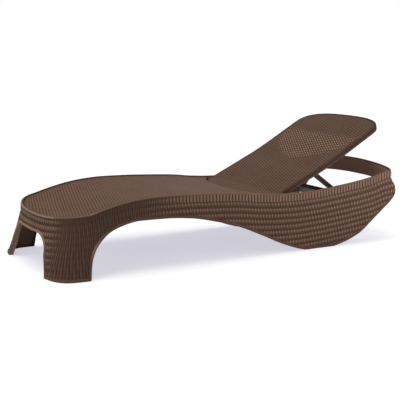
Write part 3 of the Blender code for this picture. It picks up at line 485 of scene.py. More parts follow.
@dataclass(frozen=True)
class Weave:
    """Relief of the woven look on the skirt: ribs under the rim, then strands in and out of the rows.

    A share is how light a point is painted: 0 is painted shade in a gap, 1 painted light on a crown, and
    above 1 painted light on the brightest inner walls.
    """

    strand: float = 0.0085
    columns_per_strand: int = 4
    strand_round: float = 0.6
    row: float = 0.027
    samples_per_row: int = 6
    row_round: float = 0.8
    lip: float = 0.008
    roll: float = 0.0010
    over: float = 0.0016
    under: float = 0.0010
    groove: float = 0.0006
    sink: float = 0.0008
    fade: float = 0.006
    rib: float = 0.0016
    rib_gap: float = 0.0022
    rib_columns: tuple[float, ...] = (0.0, 1.0, 2.0, 4.0)
    rib_low: float = 0.3
    rib_high: float = 0.8
    rib_top: Span = (-0.0005, 0.003)
    rib_end: float = 0.004
    rib_from: Span = (-0.48, -0.22)
    leg_calm: float = 0.92
    leg_front: Span = (-0.885, -0.84)
    leg_rear: Span = (-0.60, -0.30)
    wander: float = 0.6
    # Painted highlight near the top of each row on the over-strands, weaker on the under-strands, and more of
    # it on the foot end's front.
    under_row_painted_highlight: float = 0.30
    row_painted_highlight_at: float = 0.333
    row_painted_highlight_half: float = 0.35
    front_gain: float = 0.60
    base_share: float = 0.19
    # Painted shade in the valleys between the rows, lighter across each row's middle.
    row_painted_shade_share: float = 0.20
    row_painted_highlight_share: float = 0.64
    seam_share: float = 0.24
    # Painted shade on the leg's side.
    leg_painted_shade_share: float = 0.32
    stripe_share: float = 0.045
    # Painted shade in the gaps between the ribs, lighter on their tops.
    rib_painted_shade_share: float = 0.82
    edge_share: float = 0.34
    # Painted highlight on the rim.
    rim_painted_highlight_share: float = 0.56
    # Painted light on the inner walls, strongest on the head rail's.
    inner_share: float = 0.85
    rail_share: float = 2.00
    rail_fade: Span = (0.50, 0.78)
    # Painted shade in the groove inside the rim.
    groove_painted_shade_share: float = 0.10
    # Painted highlight on the foot end's bead, dimmer lower down.
    foot_edge_share: float = 0.95
    foot_edge_low: float = 0.50
    foot_edge_fade: Span = (0.09, 0.17)
    # Painted highlight on the upper part of the leg's rear bead.
    leg_rear_painted_highlight: Curve = Curve(((0.00, 0.0), (0.05, 0.1), (0.08, 0.35), (0.11, 0.5), (0.14, 0.35), (0.17, 0.1),
                          (0.20, 0.0)))
    band_depths: tuple[float, ...] = (0.0065, 0.0080, 0.0095, 0.012, 0.018, 0.024, 0.030, 0.034, 0.0365)

    @property
    def step(self) -> float:
        """Distance between columns of the mesh."""
        return self.strand / self.columns_per_strand

    @property
    def depth_step(self) -> float:
        """Distance between rows of the mesh below the band."""
        return self.row / self.samples_per_row

    def strands(self, phase: Array, depth: Array, band: float, x: Array) -> tuple[Array, Array]:
        """Strands that pass over and under the rows, and fade to flat rows round the leg.

        Args:
            phase: Place along the rim, in strands.
            depth: Depth below the rim.
            band: Depth of the band's lower edge.
            x: Place along the lounger.

        Returns:
            The height of each point over the plain wall, and its share.
        """
        across = np.mod(phase, 1.0)
        seam = across < MERGE
        strand = np.sin(np.pi * across) ** self.strand_round
        level = (depth - band) / self.row
        along = np.mod(level, 1.0)
        arch = np.sin(np.pi * along) ** self.row_round
        over = np.mod(np.floor(phase + MERGE) + np.floor(level + MERGE), 2) < 0.5
        calm = 1 - self.leg_calm * ease(x, *self.leg_front) * (1 - ease(x, *self.leg_rear))
        high = (self.roll + np.where(over, self.over, -self.under) * strand) * arch * calm - self.sink
        high = (high - self.groove * seam) * ease(depth, self.lip, self.lip + self.depth_step)
        # Painted highlight near the top of each row, on the over-strands most, boosted on the foot end's
        # front.
        row_painted_highlight = np.where(over, 1.0, self.under_row_painted_highlight) * strand * calm
        row_painted_highlight = row_painted_highlight * np.clip(1 - np.abs(along - self.row_painted_highlight_at) / self.row_painted_highlight_half, 0.0, 1.0)
        row_painted_highlight = row_painted_highlight * (1 + self.front_gain * (1 - ease(x, *self.leg_front)))
        # Painted shade in the row valleys, and a flat painted shade on the leg's side.
        rolled = arch * calm + self.leg_painted_shade_share * (1 - calm)
        stripe = self.stripe_share * np.cos(np.pi * (phase + self.wander * np.sin(level))) * (1 - calm)
        share = self.base_share + self.row_painted_shade_share * rolled + self.row_painted_highlight_share * row_painted_highlight
        return high, share - self.seam_share * seam + stripe

    def ribs(self, phase: Array, depth: Array, band: float) -> tuple[Array, Array]:
        """Upright ribs of the band under the rim, each two strands wide.

        Args:
            phase: Place along the rim, in strands.
            depth: Depth below the rim.
            band: Depth of the band's lower edge.

        Returns:
            The height of each point over the plain wall, and its share.
        """
        pair = np.mod(phase / 2, 1.0)
        from_gap = np.minimum(pair, 1 - pair) * 2 * self.columns_per_strand
        heights = (-self.rib_gap, -self.rib_low * self.rib_gap, self.rib_high * self.rib, self.rib)
        high = np.interp(from_gap, self.rib_columns, heights)
        # Painted shade: the share falls from the ribs' tops into the gaps.
        share = self.rib_painted_shade_share * (high + self.rib_gap) / (self.rib + self.rib_gap)
        start, full = self.rib_top
        ends = ease(depth, self.lip + start, self.lip + full) * (1 - ease(depth, band - self.rib_end, band))
        return high * ends, share

    def relief(self, phase: Array, depth: Array, band: float, x: Array) -> tuple[Array, Array]:
        """Ribs on the band behind the leg, and strands everywhere else.

        Args:
            phase: Place along the rim, in strands.
            depth: Depth below the rim.
            band: Depth of the band's lower edge.
            x: Place along the lounger.

        Returns:
            The height of each point over the plain wall, and its share.
        """
        high, share = self.strands(phase, depth, band, x)
        rib_high, rib_painted_shade_share = self.ribs(phase, depth, band)
        ribbed = ease(x, *self.rib_from) * (depth < band)
        share = share * (1 - ribbed) + rib_painted_shade_share * ribbed
        return high * (1 - ribbed) + rib_high * ribbed, np.clip(share, 0.0, 1.0)


class NodeTree:
    """Nodes of a material or of the world, under construction."""

    def __init__(self, block: Material | bpy.types.World) -> None:
        """Start on the nodes of a new material or world.

        Args:
            block: The material or the world.
        """
        block.use_nodes = True
        self.block = block
        self.tree = block.node_tree
        self.shader = next(node for node in self.tree.nodes if node.outputs)
        self.output = next(node for node in self.tree.nodes if not node.outputs)

    @property
    def place(self) -> Socket:
        """Object coordinates, from a node of their own."""
        return self.add("ShaderNodeTexCoord").outputs["Object"]

    def put(self, node: bpy.types.Node, inputs: Inputs) -> None:
        """Set or link a node's sockets.

        Args:
            node: The node.
            inputs: For each socket's name or number, its value or the socket that it reads.
        """
        for key, value in inputs.items():
            if isinstance(value, Socket):
                self.tree.links.new(value, node.inputs[key])
            else:
                node.inputs[key].default_value = value

    def add(self, kind: str, inputs: Inputs | None = None, **settings: object) -> bpy.types.Node:
        """Add a node.

        Args:
            kind: Its type.
            inputs: What its sockets are set or linked to.
            **settings: Values of its properties.

        Returns:
            The node.
        """
        node = self.tree.nodes.new(kind)
        for key, value in settings.items():
            setattr(node, key, value)
        self.put(node, inputs or {})
        return node

    def noise(self, vector: Socket, kind: Span) -> Socket:
        """Noise of a scale and a detail over a vector."""
        node = self.add("ShaderNodeTexNoise", {"Scale": kind[0], "Detail": kind[1], "Vector": vector})
        return node.outputs["Fac"]

    def stretched(self, vector: Socket, scale: Point) -> Socket:
        """A vector scaled on each axis."""
        return self.add("ShaderNodeMapping", {"Scale": scale, "Vector": vector}).outputs["Vector"]

    def ramp(self, value: Socket, stops: tuple[tuple[float, Colour], ...]) -> Socket:
        """Colours along a value.

        Args:
            value: What is read.
            stops: Places and colours, in rising order.

        Returns:
            The colour.
        """
        node = self.add("ShaderNodeValToRGB", {"Fac": value})
        elements = node.color_ramp.elements
        while len(elements) < len(stops):
            elements.new(0.5)
        for element, (place, colour) in zip(elements, stops):
            element.position = place
            element.color = (*colour, 1.0)
        return node.outputs["Color"]

    def mix_colour(self, first: Socket, second: Socket) -> Socket:
        """One colour multiplied by another."""
        inputs = {MIX_FACTOR: 1.0, MIX_FIRST: first, MIX_SECOND: second}
        return self.add("ShaderNodeMix", inputs, data_type="RGBA", blend_type="MULTIPLY").outputs[MIX_COLOUR]

    def mapped(self, value: Socket, low: float, high: float, source: Span = NOISE_RANGE) -> Socket:
        """A value spread from a range, by default the middle of a noise's, over another."""
        ends = {"From Min": source[0], "From Max": source[1], "To Min": low, "To Max": high}
        return self.add("ShaderNodeMapRange", {"Value": value, **ends}).outputs["Result"]

    def split_background(self, plain: Socket) -> None:
        """Show the camera, glossy and transmission rays a plain shader, and the rest the first one.

        Args:
            plain: The shader that looks like a white background.
        """
        path = self.add("ShaderNodeLightPath")
        seen = path.outputs["Is Camera Ray"]
        for name in ("Is Glossy Ray", "Is Transmission Ray"):
            either = self.add("ShaderNodeMath", {0: seen, 1: path.outputs[name]}, operation="MAXIMUM")
            seen = either.outputs[0]
        mix = self.add("ShaderNodeMixShader", {0: seen, 1: self.shader.outputs[0], 2: plain})
        self.put(self.output, {"Surface": mix.outputs[0]})


@dataclass(frozen=True, kw_only=True)
class Finish:
    """What every finish has. A noise is given by its scale and its detail."""

    name: str
    roughness: float
    spread: float
    bump: float

    def tree(self) -> NodeTree:
        """Nodes of the finish's new material."""
        return NodeTree(bpy.data.materials.new(self.name))

    def shade(self, made: NodeTree, colour: Socket, patches: Socket, heights: tuple[Socket, ...]) -> Material:
        """Give the shader its colour, a roughness that varies and fine relief.

        Args:
            made: The material's nodes.
            colour: The colour.
            patches: What varies the roughness.
            heights: Heights of the relief, one bump after another.

        Returns:
            The material.
        """
        low, high = self.roughness - self.spread / 2, self.roughness + self.spread / 2
        shader = {"Base Color": colour, "Roughness": made.mapped(patches, low, high)}
        normal = {}
        for height in heights:
            node = made.add("ShaderNodeBump", {"Distance": self.bump, "Height": height, **normal})
            normal = {"Normal": node.outputs["Normal"]}
        made.put(made.shader, shader | normal)
        return made.block


@dataclass(frozen=True, kw_only=True)
class WovenPlastic(Finish):
    """Woven-look moulded plastic, with painted shade in the gaps between the strands and painted light on
    their crowns.
    """

    crown: Colour
    wall: Colour
    gap: Colour
    wall_at: float = 0.45
    tint: Colour = (0.90, 0.90, 0.91)
    clouds: Span = (9.0, 3.0)
    # Painted light: how much lighter the shares above 1 make the inner walls.
    inner_gain: float = 1.7
    inner_range: Span = (1.0, 2.0)
    roughness: float = 0.60
    spread: float = 0.10
    patches: Span = (60.0, 4.0)
    specular: float = 0.03
    grain: Span = (620.0, 2.0)
    striation: Point = (1500.0, 93.75, 1.0)
    lines: Span = (1.0, 1.0)
    bump: float = 0.00012

    def material(self) -> Material:
        """Build the material.

        Returns:
            A material that reads the relief attribute, the weave's UV map and object coordinates.
        """
        made = self.tree()
        made.put(made.shader, {"Specular IOR Level": self.specular})
        relief = made.add("ShaderNodeAttribute", attribute_name="relief").outputs["Fac"]
        # Painted shade in the gaps and painted light on the crowns, from the relief attribute.
        strands = made.ramp(relief, ((0.0, self.gap), (self.wall_at, self.wall), (1.0, self.crown)))
        low, high = NOISE_RANGE
        tint = made.ramp(made.noise(made.place, self.clouds), ((low, self.tint), (high, WHITE)))
        # Painted light on the inner walls whose share is above 1.
        painted_light_gain = made.mapped(relief, 1.0, self.inner_gain, self.inner_range)
        chart = made.add("ShaderNodeUVMap", uv_map="weave").outputs["UV"]
        lines = made.noise(made.stretched(chart, self.striation), self.lines)
        return self.shade(made, made.mix_colour(made.mix_colour(strands, tint), painted_light_gain),
                          made.noise(made.place, self.patches), (made.noise(made.place, self.grain), lines))


@dataclass(frozen=True, kw_only=True)
class MouldedPlastic(Finish):
    """Plain moulded plastic with a fine grain."""

    colour: Colour
    dusk: Colour
    clouds: Span = (7.0, 4.0)
    cloud_range: Span = (0.35, 0.65)
    roughness: float = 0.5
    spread: float = 0.12
    patches: Span = (45.0, 3.0)
    specular: float = 0.08
    grain: Span = (900.0, 2.0)
    bump: float = 0.00008

    def material(self) -> Material:
        """Build the material.

        Returns:
            A material that reads object coordinates.
        """
        made = self.tree()
        made.put(made.shader, {"Specular IOR Level": self.specular})
        low, high = self.cloud_range
        colour = made.ramp(made.noise(made.place, self.clouds), ((low, self.dusk), (high, self.colour)))
        patches = made.noise(made.place, self.patches)
        return self.shade(made, colour, patches, (made.noise(made.place, self.grain),))


@dataclass(frozen=True, kw_only=True)
class BrushedSteel(Finish):
    """Turned steel with fine lines round it."""

    colour: Colour
    dark_share: float = 0.85
    streak_range: Span = (0.2, 0.8)
    roughness: float = 0.32
    spread: float = 0.14
    stretch: Point = (1.0, 2400.0, 1.0)
    lines: Span = (1.0, 2.0)
    bump: float = 0.00002

    def material(self) -> Material:
        """Build the material.

        Returns:
            A material that reads object coordinates.
        """
        made = self.tree()
        made.put(made.shader, {"Metallic": 1.0})
        streaks = made.noise(made.stretched(made.place, self.stretch), self.lines)
        low, high = self.streak_range
        dark = tuple(c * self.dark_share for c in self.colour)
        return self.shade(made, made.ramp(streaks, ((low, dark), (high, self.colour))), streaks, (streaks,))


def clear_selection() -> None:
    """Leave nothing selected."""
    bpy.ops.object.select_all(action="DESELECT")


def laid_grid(name: str, points: Array, relief: Array, chart: Array) -> Piece:
    """Lay a grid primitive over a table of points.

    Args:
        name: Name of the piece.
        points: Places, one for each column and row.
        relief: How light each point is painted: 0 is painted shade in a gap, 1 painted light on a crown, and
            above 1 painted light on the brightest inner walls.
        chart: Place of each point on the weave, across and along.

    Returns:
        The grid's object, with its relief attribute of painted light and shade, and its UV map named weave.
    """
    columns, rows = relief.shape
    clear_selection()
    bpy.ops.mesh.primitive_grid_add(x_subdivisions=columns - 1, y_subdivisions=rows - 1, size=1.0)
    obj = bpy.context.object
    obj.name = obj.data.name = name
    mesh = obj.data
    flat = np.zeros(len(mesh.vertices) * 3)
    mesh.vertices.foreach_get("co", flat)
    flat = flat.reshape(-1, 3) + 0.5
    i = np.rint(flat[:, 0] * (columns - 1)).astype(int)
    j = np.rint(flat[:, 1] * (rows - 1)).astype(int)
    mesh.vertices.foreach_set("co", points[i, j].ravel())
    layer = mesh.attributes.new("relief", "FLOAT", "POINT")
    layer.data.foreach_set("value", relief[i, j])
    corner = np.zeros(len(mesh.loops), dtype=int)
    mesh.loops.foreach_get("vertex_index", corner)
    uv = mesh.uv_layers[0]
    uv.name = "weave"
    uv.data.foreach_set("uv", chart[i, j][corner].ravel())
    mesh.update()
    return obj


def merge_and_turn(fill: bool) -> None:
    """Merge the doubles of the mesh in edit mode and turn its faces outwards.

    Args:
        fill: Whether its open ends are closed in between.
    """
    bpy.ops.mesh.select_all(action="SELECT")
    bpy.ops.mesh.remove_doubles(threshold=MERGE)
    bpy.ops.mesh.select_all(action="SELECT")
    if fill:
        bpy.ops.mesh.fill_holes(sides=0)
        bpy.ops.mesh.select_all(action="SELECT")
    bpy.ops.mesh.normals_make_consistent(inside=False)


def dress(obj: Piece, material: Material, body: Body) -> None:
    """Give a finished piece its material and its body.

    Args:
        obj: The piece.
        material: Its material.
        body: The body that it rides on.
    """
    obj.data.materials.clear()
    obj.data.materials.append(material)
    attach(obj, body.value)
    LOG.info("%s: %d faces on %s", obj.name, len(obj.data.polygons), body.value)


@dataclass
class Skirt:
    """Woven-look mouldings round the lounger: two sides, the foot apron and the head rail."""

    form: BodyForm
    weave: Weave
    bead_line: Table = ((1.0, -0.0008), (0.93, 0.0010), (0.82, 0.0026), (0.60, 0.0030), (0.35, 0.0029),
                        (0.12, 0.0022), (0.0, 0.0008))
    head_turn: float = 0.25
    round_steps: int = 4
    wall_rows: int = 10
    lip_rows: int = 3
    sampling: int = 400
    smooth_angle: float = 52.0

    def spaced(self, maker: Callable[[Array], Stations], first: float, last: float,
               whole: int = 1) -> tuple[Stations, int]:
        """Stations of a stretch at even steps along the rim.

        Args:
            maker: Gives the stations at a run of places.
            first: Where the stretch starts.
            last: Where it ends.
            whole: The number of steps is a multiple of this.

        Returns:
            The stations, the last one included, and the number of steps.
        """
        fine = np.linspace(first, last, self.sampling)
        at = maker(fine)
        run = np.concatenate([[0.0], np.cumsum(np.hypot(np.diff(at.x), np.diff(at.y)))])
        steps = max(1, round(run[-1] / self.weave.step / whole)) * whole
        return maker(np.interp(np.linspace(0, run[-1], steps + 1), run, fine)), steps

    def head_corner(self, t: Array) -> Stations:
        """Stations round the head end's corner.

        Args:
            t: Their places, from 0 at the head seam to 1 at the long side.

        Returns:
            The stations.
        """
        f = self.form
        seam = f.head_seam + f.gap / 2
        first = math.atan2(seam, float(f.head_rim.x_at(np.array(seam))))
        out, y = f.head_rim.polar(first + (math.pi / 2 - first) * t)
        return f.head(out, np.maximum(y, f.head_seam), ease(t, 0.0, self.head_turn))

    def rail(self, y: Array) -> Stations:
        """Stations of the head rail at distances from the middle, where it faces straight back."""
        return self.form.head(self.form.head_rim.x_at(y), y, 0 * y)

    def side_stations(self) -> Stations:
        """Stations of one side moulding.

        Returns:
            The stations, from the head seam round the leg to the foot seam.
        """
        f = self.form
        edge = f.opening_half + f.opening_run
        stretches = (
            (self.head_corner, 0.0, 1.0),
            (f.side, f.head_arc_x, f.leg_rear),
            (f.side, f.leg_rear, f.leg_rear - f.bead_height),
            (f.corner, 1.0, 0.0),
            (f.foot, f.front_end, edge),
            (f.foot, edge, f.opening_half),
            (f.foot, f.opening_half, f.foot_seam + f.gap / 2),
        )
        parts = []
        for k, (maker, first, last) in enumerate(stretches):
            found, _ = self.spaced(maker, first, last)
            parts.append(found.cut(slice(1 if k else 0, None)))
        return Stations.joined(parts)

    def crossing(self, maker: Callable[[Array], Stations], seam: float) -> tuple[Stations, Array, Array]:
        """Stations of a moulding that crosses the middle, from its left seam to its right one.

        Args:
            maker: Gives the stations at distances from the middle.
            seam: Distance of its seams from the middle.

        Returns:
            The stations, the sign of Y at each, and the number of steps to each from the left seam.
        """
        half, steps = self.spaced(maker, 0.0, seam - self.form.gap / 2, self.weave.columns_per_strand)
        both = Stations.joined([half.cut(slice(None, None, -1)), half.cut(slice(1, None))])
        count = np.arange(2 * steps + 1)
        return both, np.where(count <= steps, 1.0, -1.0), count

    def rows(self, s: Stations) -> tuple[Array, Array, Array, Array]:
        """Section of the moulding at each station.

        Args:
            s: The stations.

        Returns:
            For each station and row: the distance outside the rim's line, the height, the depth of the
            weave, negative where there is none, and 1 where the point follows the hull's lean.
        """
        f, w = self.form, self.weave
        one = np.ones_like(s.x)
        table = []

        def row(o: float, z: Array, d: float = -1.0, h: float = 0.0) -> None:
            """Add a row at a distance outside, a height, a depth and a share of the lean."""
            table.append((o * one, z, d * one, h * one))

        r = f.rim_round
        turns = np.linspace(0, math.pi / 2, self.round_steps + 1)
        row(-f.rim_width, s.top - s.wall)
        for a in turns:
            row(-f.rim_width + r * (1 - math.cos(a)), s.top - r * (1 - math.sin(a)))
        for a in turns[::-1]:
            row(-r * (1 - math.cos(a)), s.top - r * (1 - math.sin(a)))
        deepest = float(np.max(s.top - s.bead))
        below = f.band + w.depth_step * np.arange(math.ceil((deepest - f.band) / w.depth_step))
        for d in [*w.band_depths, *below]:
            row(0.0, np.maximum(s.top - d, s.bead), d, 1.0)
        for share, o in self.bead_line:
            row(o, s.bottom + (s.bead - s.bottom) * share, -1.0, 1.0)
        for k in range(self.lip_rows):
            row(-f.lip_width * (k + 1) / self.lip_rows, s.bottom, -1.0, 1.0)
        row(-f.lip_width, s.lip, -1.0, 1.0)
        row(-f.skin, s.lip, -1.0, 1.0)
        band = s.top - f.band
        for k in range(1, self.wall_rows + 1):
            row(-f.skin, s.lip + (band - s.lip) * k / self.wall_rows, -1.0, 1.0)
        row(-f.skin, s.top - f.skin)
        row(f.skin - f.rim_width, s.top - f.skin)
        row(f.skin - f.rim_width, s.top - s.wall)
        row(-f.rim_width, s.top - s.wall)
        return tuple(np.array(column).T for column in zip(*table))

    def shares(self, at: Stations, out: Array, z: Array, hull: Array) -> Array:
        """How light the plain parts of a moulding are: its bead, with painted highlights at the foot end and
        the leg's rear, its rim, with a painted highlight and painted shade in the groove inside it, and its
        inner walls, with painted light.

        Args:
            at: The stations, each as a row of its own.
            out: Distance of each point outside the rim's line.
            z: Its height.
            hull: 1 where it follows the hull's lean.

        Returns:
            The share at each point.
        """
        f, w = self.form, self.weave
        # Painted highlight on the foot end's bead, lighter high up and dimmer lower down.
        foot = 1 - ease(at.y, f.opening_half, f.front_end)
        foot_painted_highlight = w.foot_edge_low + (w.foot_edge_share - w.foot_edge_low) * ease(z, *w.foot_edge_fade)
        edge = w.edge_share + (foot_painted_highlight - w.edge_share) * foot
        upper = z > (at.bottom + at.bead) / 2
        # Painted highlight on the upper part of the leg's rear bead.
        edge = edge + w.leg_rear_painted_highlight.at(at.bottom) * (at.x < w.leg_rear[0]) * (1 - foot) * upper
        rim = z > at.top - f.rim_round
        # Painted highlight on the rim.
        edge = np.where(rim, np.maximum(edge, w.rim_painted_highlight_share), edge)
        # Painted light on the inner walls, strongest on the head rail's.
        inner = w.inner_share + (w.rail_share - w.inner_share) * ease(at.x, *w.rail_fade)
        share = np.where((out < -f.skin / 2) & (hull > 0) | (out < -f.rim_width / 2), inner, edge)
        # Painted shade in the groove inside the rim.
        return np.where((out < -f.rim_width + f.rim_round) & rim, w.groove_painted_shade_share, share)

    def make(self, name: str, s: Stations, side: Array, phase: Array) -> Piece:
        """Model one moulding.

        Args:
            name: Name of the piece.
            s: Its stations.
            side: Sign of Y at each station.
            phase: Place of each station along the rim, in strands.

        Returns:
            The closed moulding.
        """
        f, w = self.form, self.weave
        out, z, depth, hull = self.rows(s)
        at = s.cut((slice(None), None))
        run = phase[:, None] + 0 * z
        woven = depth >= 0
        bead_side = ease(z - at.bead, 0.0, w.fade)
        high, share = w.relief(run, np.maximum(depth, 0.0), f.band, at.x)
        height = np.where(woven, high * bead_side, 0.0)
        under = np.maximum(0.0, at.top - f.band - z)
        swell = at.bulge * ease(under, 0.0, f.bulge_reach)
        lean = (under / (at.top - f.band)) ** at.lean * hull
        away = out + height + swell * hull
        x = at.x + at.nx * away + at.dx * lean
        y = at.y + at.ny * away + at.dy * lean
        points = np.stack([x, y * side[:, None], z], axis=2)
        share = np.where(woven & (bead_side > 0), share, self.shares(at, out, z, hull))
        # Painted shade: the groove just inside the bead takes the gap colour.
        groove = (out < 0) & (out > -f.bead_out) & ~woven & (z < at.top - f.band)
        chart = np.stack([run * w.strand, at.top - z], axis=2)
        obj = laid_grid(name, points, np.where(groove, 0.0, share), chart)
        bpy.ops.object.mode_set(mode="EDIT")
        merge_and_turn(fill=True)
        bpy.ops.object.mode_set(mode="OBJECT")
        bpy.ops.object.shade_smooth_by_angle(angle=math.radians(self.smooth_angle))
        return obj

    def build(self, material: Material) -> None:
        """Model and dress the four mouldings.

        Args:
            material: Their finish.
        """
        f, per_strand = self.form, self.weave.columns_per_strand
        found = self.side_stations()
        phase = np.arange(len(found.x)) / per_strand
        for side in Side:
            signs = np.full(len(found.x), float(side.value))
            obj = self.make("woven_side_" + side.label, found, signs, phase)
            dress(obj, material, Body.FRAME)
            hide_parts("side_shell_" + side.label)
        rail, rail_signs, rail_count = self.crossing(self.rail, f.head_seam)
        apron, apron_signs, apron_count = self.crossing(f.foot, f.foot_seam)
        from_seam = np.minimum(apron_count, apron_count[::-1])
        for name, node, s, signs, phases in (
                ("woven_head_rail", "head_rail", rail, rail_signs, rail_count / per_strand),
                ("woven_foot_apron", "foot_apron", apron, apron_signs, phase[-1] + from_seam / per_strand)):
            obj = self.make(name, s, signs, phases)
            dress(obj, material, Body.FRAME)
            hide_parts(node)


@dataclass(frozen=True)
class Twill:
    """Strokes and stitches of the seat and the backrest.

    stroke and stroke_slope give the strokes' spacing and slant, piece the columns from dip to dip along one,
    and pitch and narrow the length of a stitch and its width in columns.
    """

    stroke: float = 0.0134
    stroke_slope: float = 0.28
    pitch: float = 0.0134
    column: float = 0.0067
    narrow: int = 3
    height: float = 0.0022
    piece: int = 4
    notch: float = 0.60
    border: float = 0.008
    border_fade: float = 0.004
    border_share: float = 0.40

    def strokes(self, x: Array, y: Array) -> Array:
        """Diagonal strokes that rise and fall smoothly along their run.

        Args:
            x: Place along the panel.
            y: Place across it.

        Returns:
            Share of the whole height at each point.
        """
        stroke = (x - y * self.stroke_slope) / self.stroke
        turn = y / (self.column * self.piece) + np.floor(stroke) / 2
        dip = (1 + np.cos(2 * np.pi * turn)) / 2
        return np.sin(np.pi * np.mod(stroke, 1.0)) * (1 - self.notch * dip)

    def stitches(self, x: Array, y: Array) -> Array:
        """Stitches in lengthwise columns, each column half a stitch further than the next.

        Args:
            x: Place along the panel.
            y: Place across it.

        Returns:
            Share of the whole height at each point.
        """
        number = np.rint(y / self.column)
        across = np.sin(np.pi * np.mod(number / self.narrow, 1.0))
        turn = np.mod(np.floor(number / self.narrow), 2) / 2
        return across * np.sin(np.pi * np.mod(x / self.pitch + turn, 1.0))

    def weight(self, edge: Array) -> Array:
        """How strong the weave is at a distance from the panel's edge."""
        return ease(edge, self.border, self.border + self.border_fade)


@dataclass
class Sheet:
    """A woven top laid over a CAD panel, with its edge rolled down over the panel's edge."""

    twill: Twill
    lift: float = 0.0006
    roll: float = 0.003
    clear: float = 0.0001
    flange: float = 0.008
    thickness: float = 0.0012
    row_step: float = 0.00335
    end_step: float = 0.020
    roll_steps: int = 4
    smooth_angle: float = 60.0

    def across(self, wide: float, half: Array) -> Array:
        """Places of the grid's columns across a panel, drawn in where a row is narrower.

        Args:
            wide: Half width of the grid.
            half: Half width of the panel at each row.

        Returns:
            The place of each column at each row.
        """
        count = math.ceil(wide / self.twill.column)
        places = self.twill.column * np.arange(-count, count + 1)
        return np.clip(places[None, :], -half[:, None], half[:, None])

    def outline_rows(self, x: Array, half: Array) -> Array:
        """Rows of an end, from the tip inwards, that follow its outline.

        Args:
            x: Places along a fine outline, from the tip inwards.
            half: Half width at each of them.

        Returns:
            The chosen places.
        """
        chosen = [0]
        for k in range(1, len(x)):
            moved = abs(x[k] - x[chosen[-1]])
            if moved >= self.row_step or abs(half[k] - half[chosen[-1]]) >= self.end_step:
                chosen.append(k)
        return x[chosen]

    def joined_rows(self, front: Array, rear: Array) -> Array:
        """Rows of both ends, with even ones between them."""
        between = np.arange(front[-1] + self.row_step, rear[0] - self.row_step / 2, self.row_step)
        return np.concatenate([front, between, rear])

    def lay(self, name: str, x: Array, y: Array, z: Array, weave: Array, weight: Array) -> Piece:
        """Model the sheet over a table of points, roll its edge down and thicken it.

        Args:
            name: Name of the piece.
            x: Place of each point along the panel.
            y: Place across it.
            z: Height of the panel's top.
            weave: Share of the weave's height at each point.
            weight: How strong the weave is there.

        Returns:
            The closed sheet.
        """
        points = np.stack([x, y, z + self.lift + self.twill.height * weave * weight], axis=2)
        # Painted shade in the weave's dips and painted light on its ridges; the border gets a plain share.
        share = self.twill.border_share * (1 - weight) + weave * weight
        obj = laid_grid(name, points, share, np.stack([x, y], axis=2))
        bpy.ops.object.mode_set(mode="EDIT")
        merge_and_turn(fill=False)
        self.roll_edge(obj)
        bpy.ops.object.mode_set(mode="OBJECT")
        if obj.data.polygons[len(obj.data.polygons) // 2].normal.z < 0:
            obj.data.flip_normals()
        wall = obj.modifiers.new("thickness", "SOLIDIFY")
        wall.thickness = self.thickness
        wall.offset = -1.0
        bpy.ops.object.modifier_apply(modifier=wall.name)
        bpy.ops.object.shade_smooth_by_angle(angle=math.radians(self.smooth_angle))
        return obj

    def roll_edge(self, obj: Piece) -> None:
        """Extrude the open edge in steps, round and then straight down.

        Args:
            obj: The sheet, in edit mode.
        """
        bm = bmesh.from_edit_mesh(obj.data)
        layer = bm.verts.layers.float_vector.new("outward")
        for vert in bm.verts:
            rim = [e for e in vert.link_edges if e.is_boundary]
            if len(rim) != 2:
                continue
            run = rim[1].other_vert(vert).co - rim[0].other_vert(vert).co
            away = Vector((run.y, -run.x, 0)).normalized()
            middle = vert.link_faces[0].calc_center_median()
            vert[layer] = away if away.dot(vert.co - middle) > 0 else -away
        for element in (*bm.verts, *bm.edges, *bm.faces):
            element.select = False
        for edge in bm.edges:
            if edge.is_boundary:
                edge.select_set(True)
        bmesh.update_edit_mesh(obj.data)
        bpy.ops.mesh.select_mode(type="EDGE")
        turns = np.linspace(0, math.pi / 2, self.roll_steps + 1)
        reach = self.roll + self.clear
        steps = [(reach * (math.sin(b) - math.sin(a)), self.roll * (math.cos(a) - math.cos(b)))
                 for a, b in zip(turns, turns[1:])]
        for away, down in [*steps, (0.0, self.flange)]:
            bpy.ops.mesh.extrude_edges_move()
            bm = bmesh.from_edit_mesh(obj.data)
            layer = bm.verts.layers.float_vector["outward"]
            for vert in bm.verts:
                if vert.select:
                    vert.co += Vector(vert[layer]) * away - Vector((0, 0, down))
            bmesh.update_edit_mesh(obj.data)
        bpy.ops.mesh.select_mode(type="VERT")


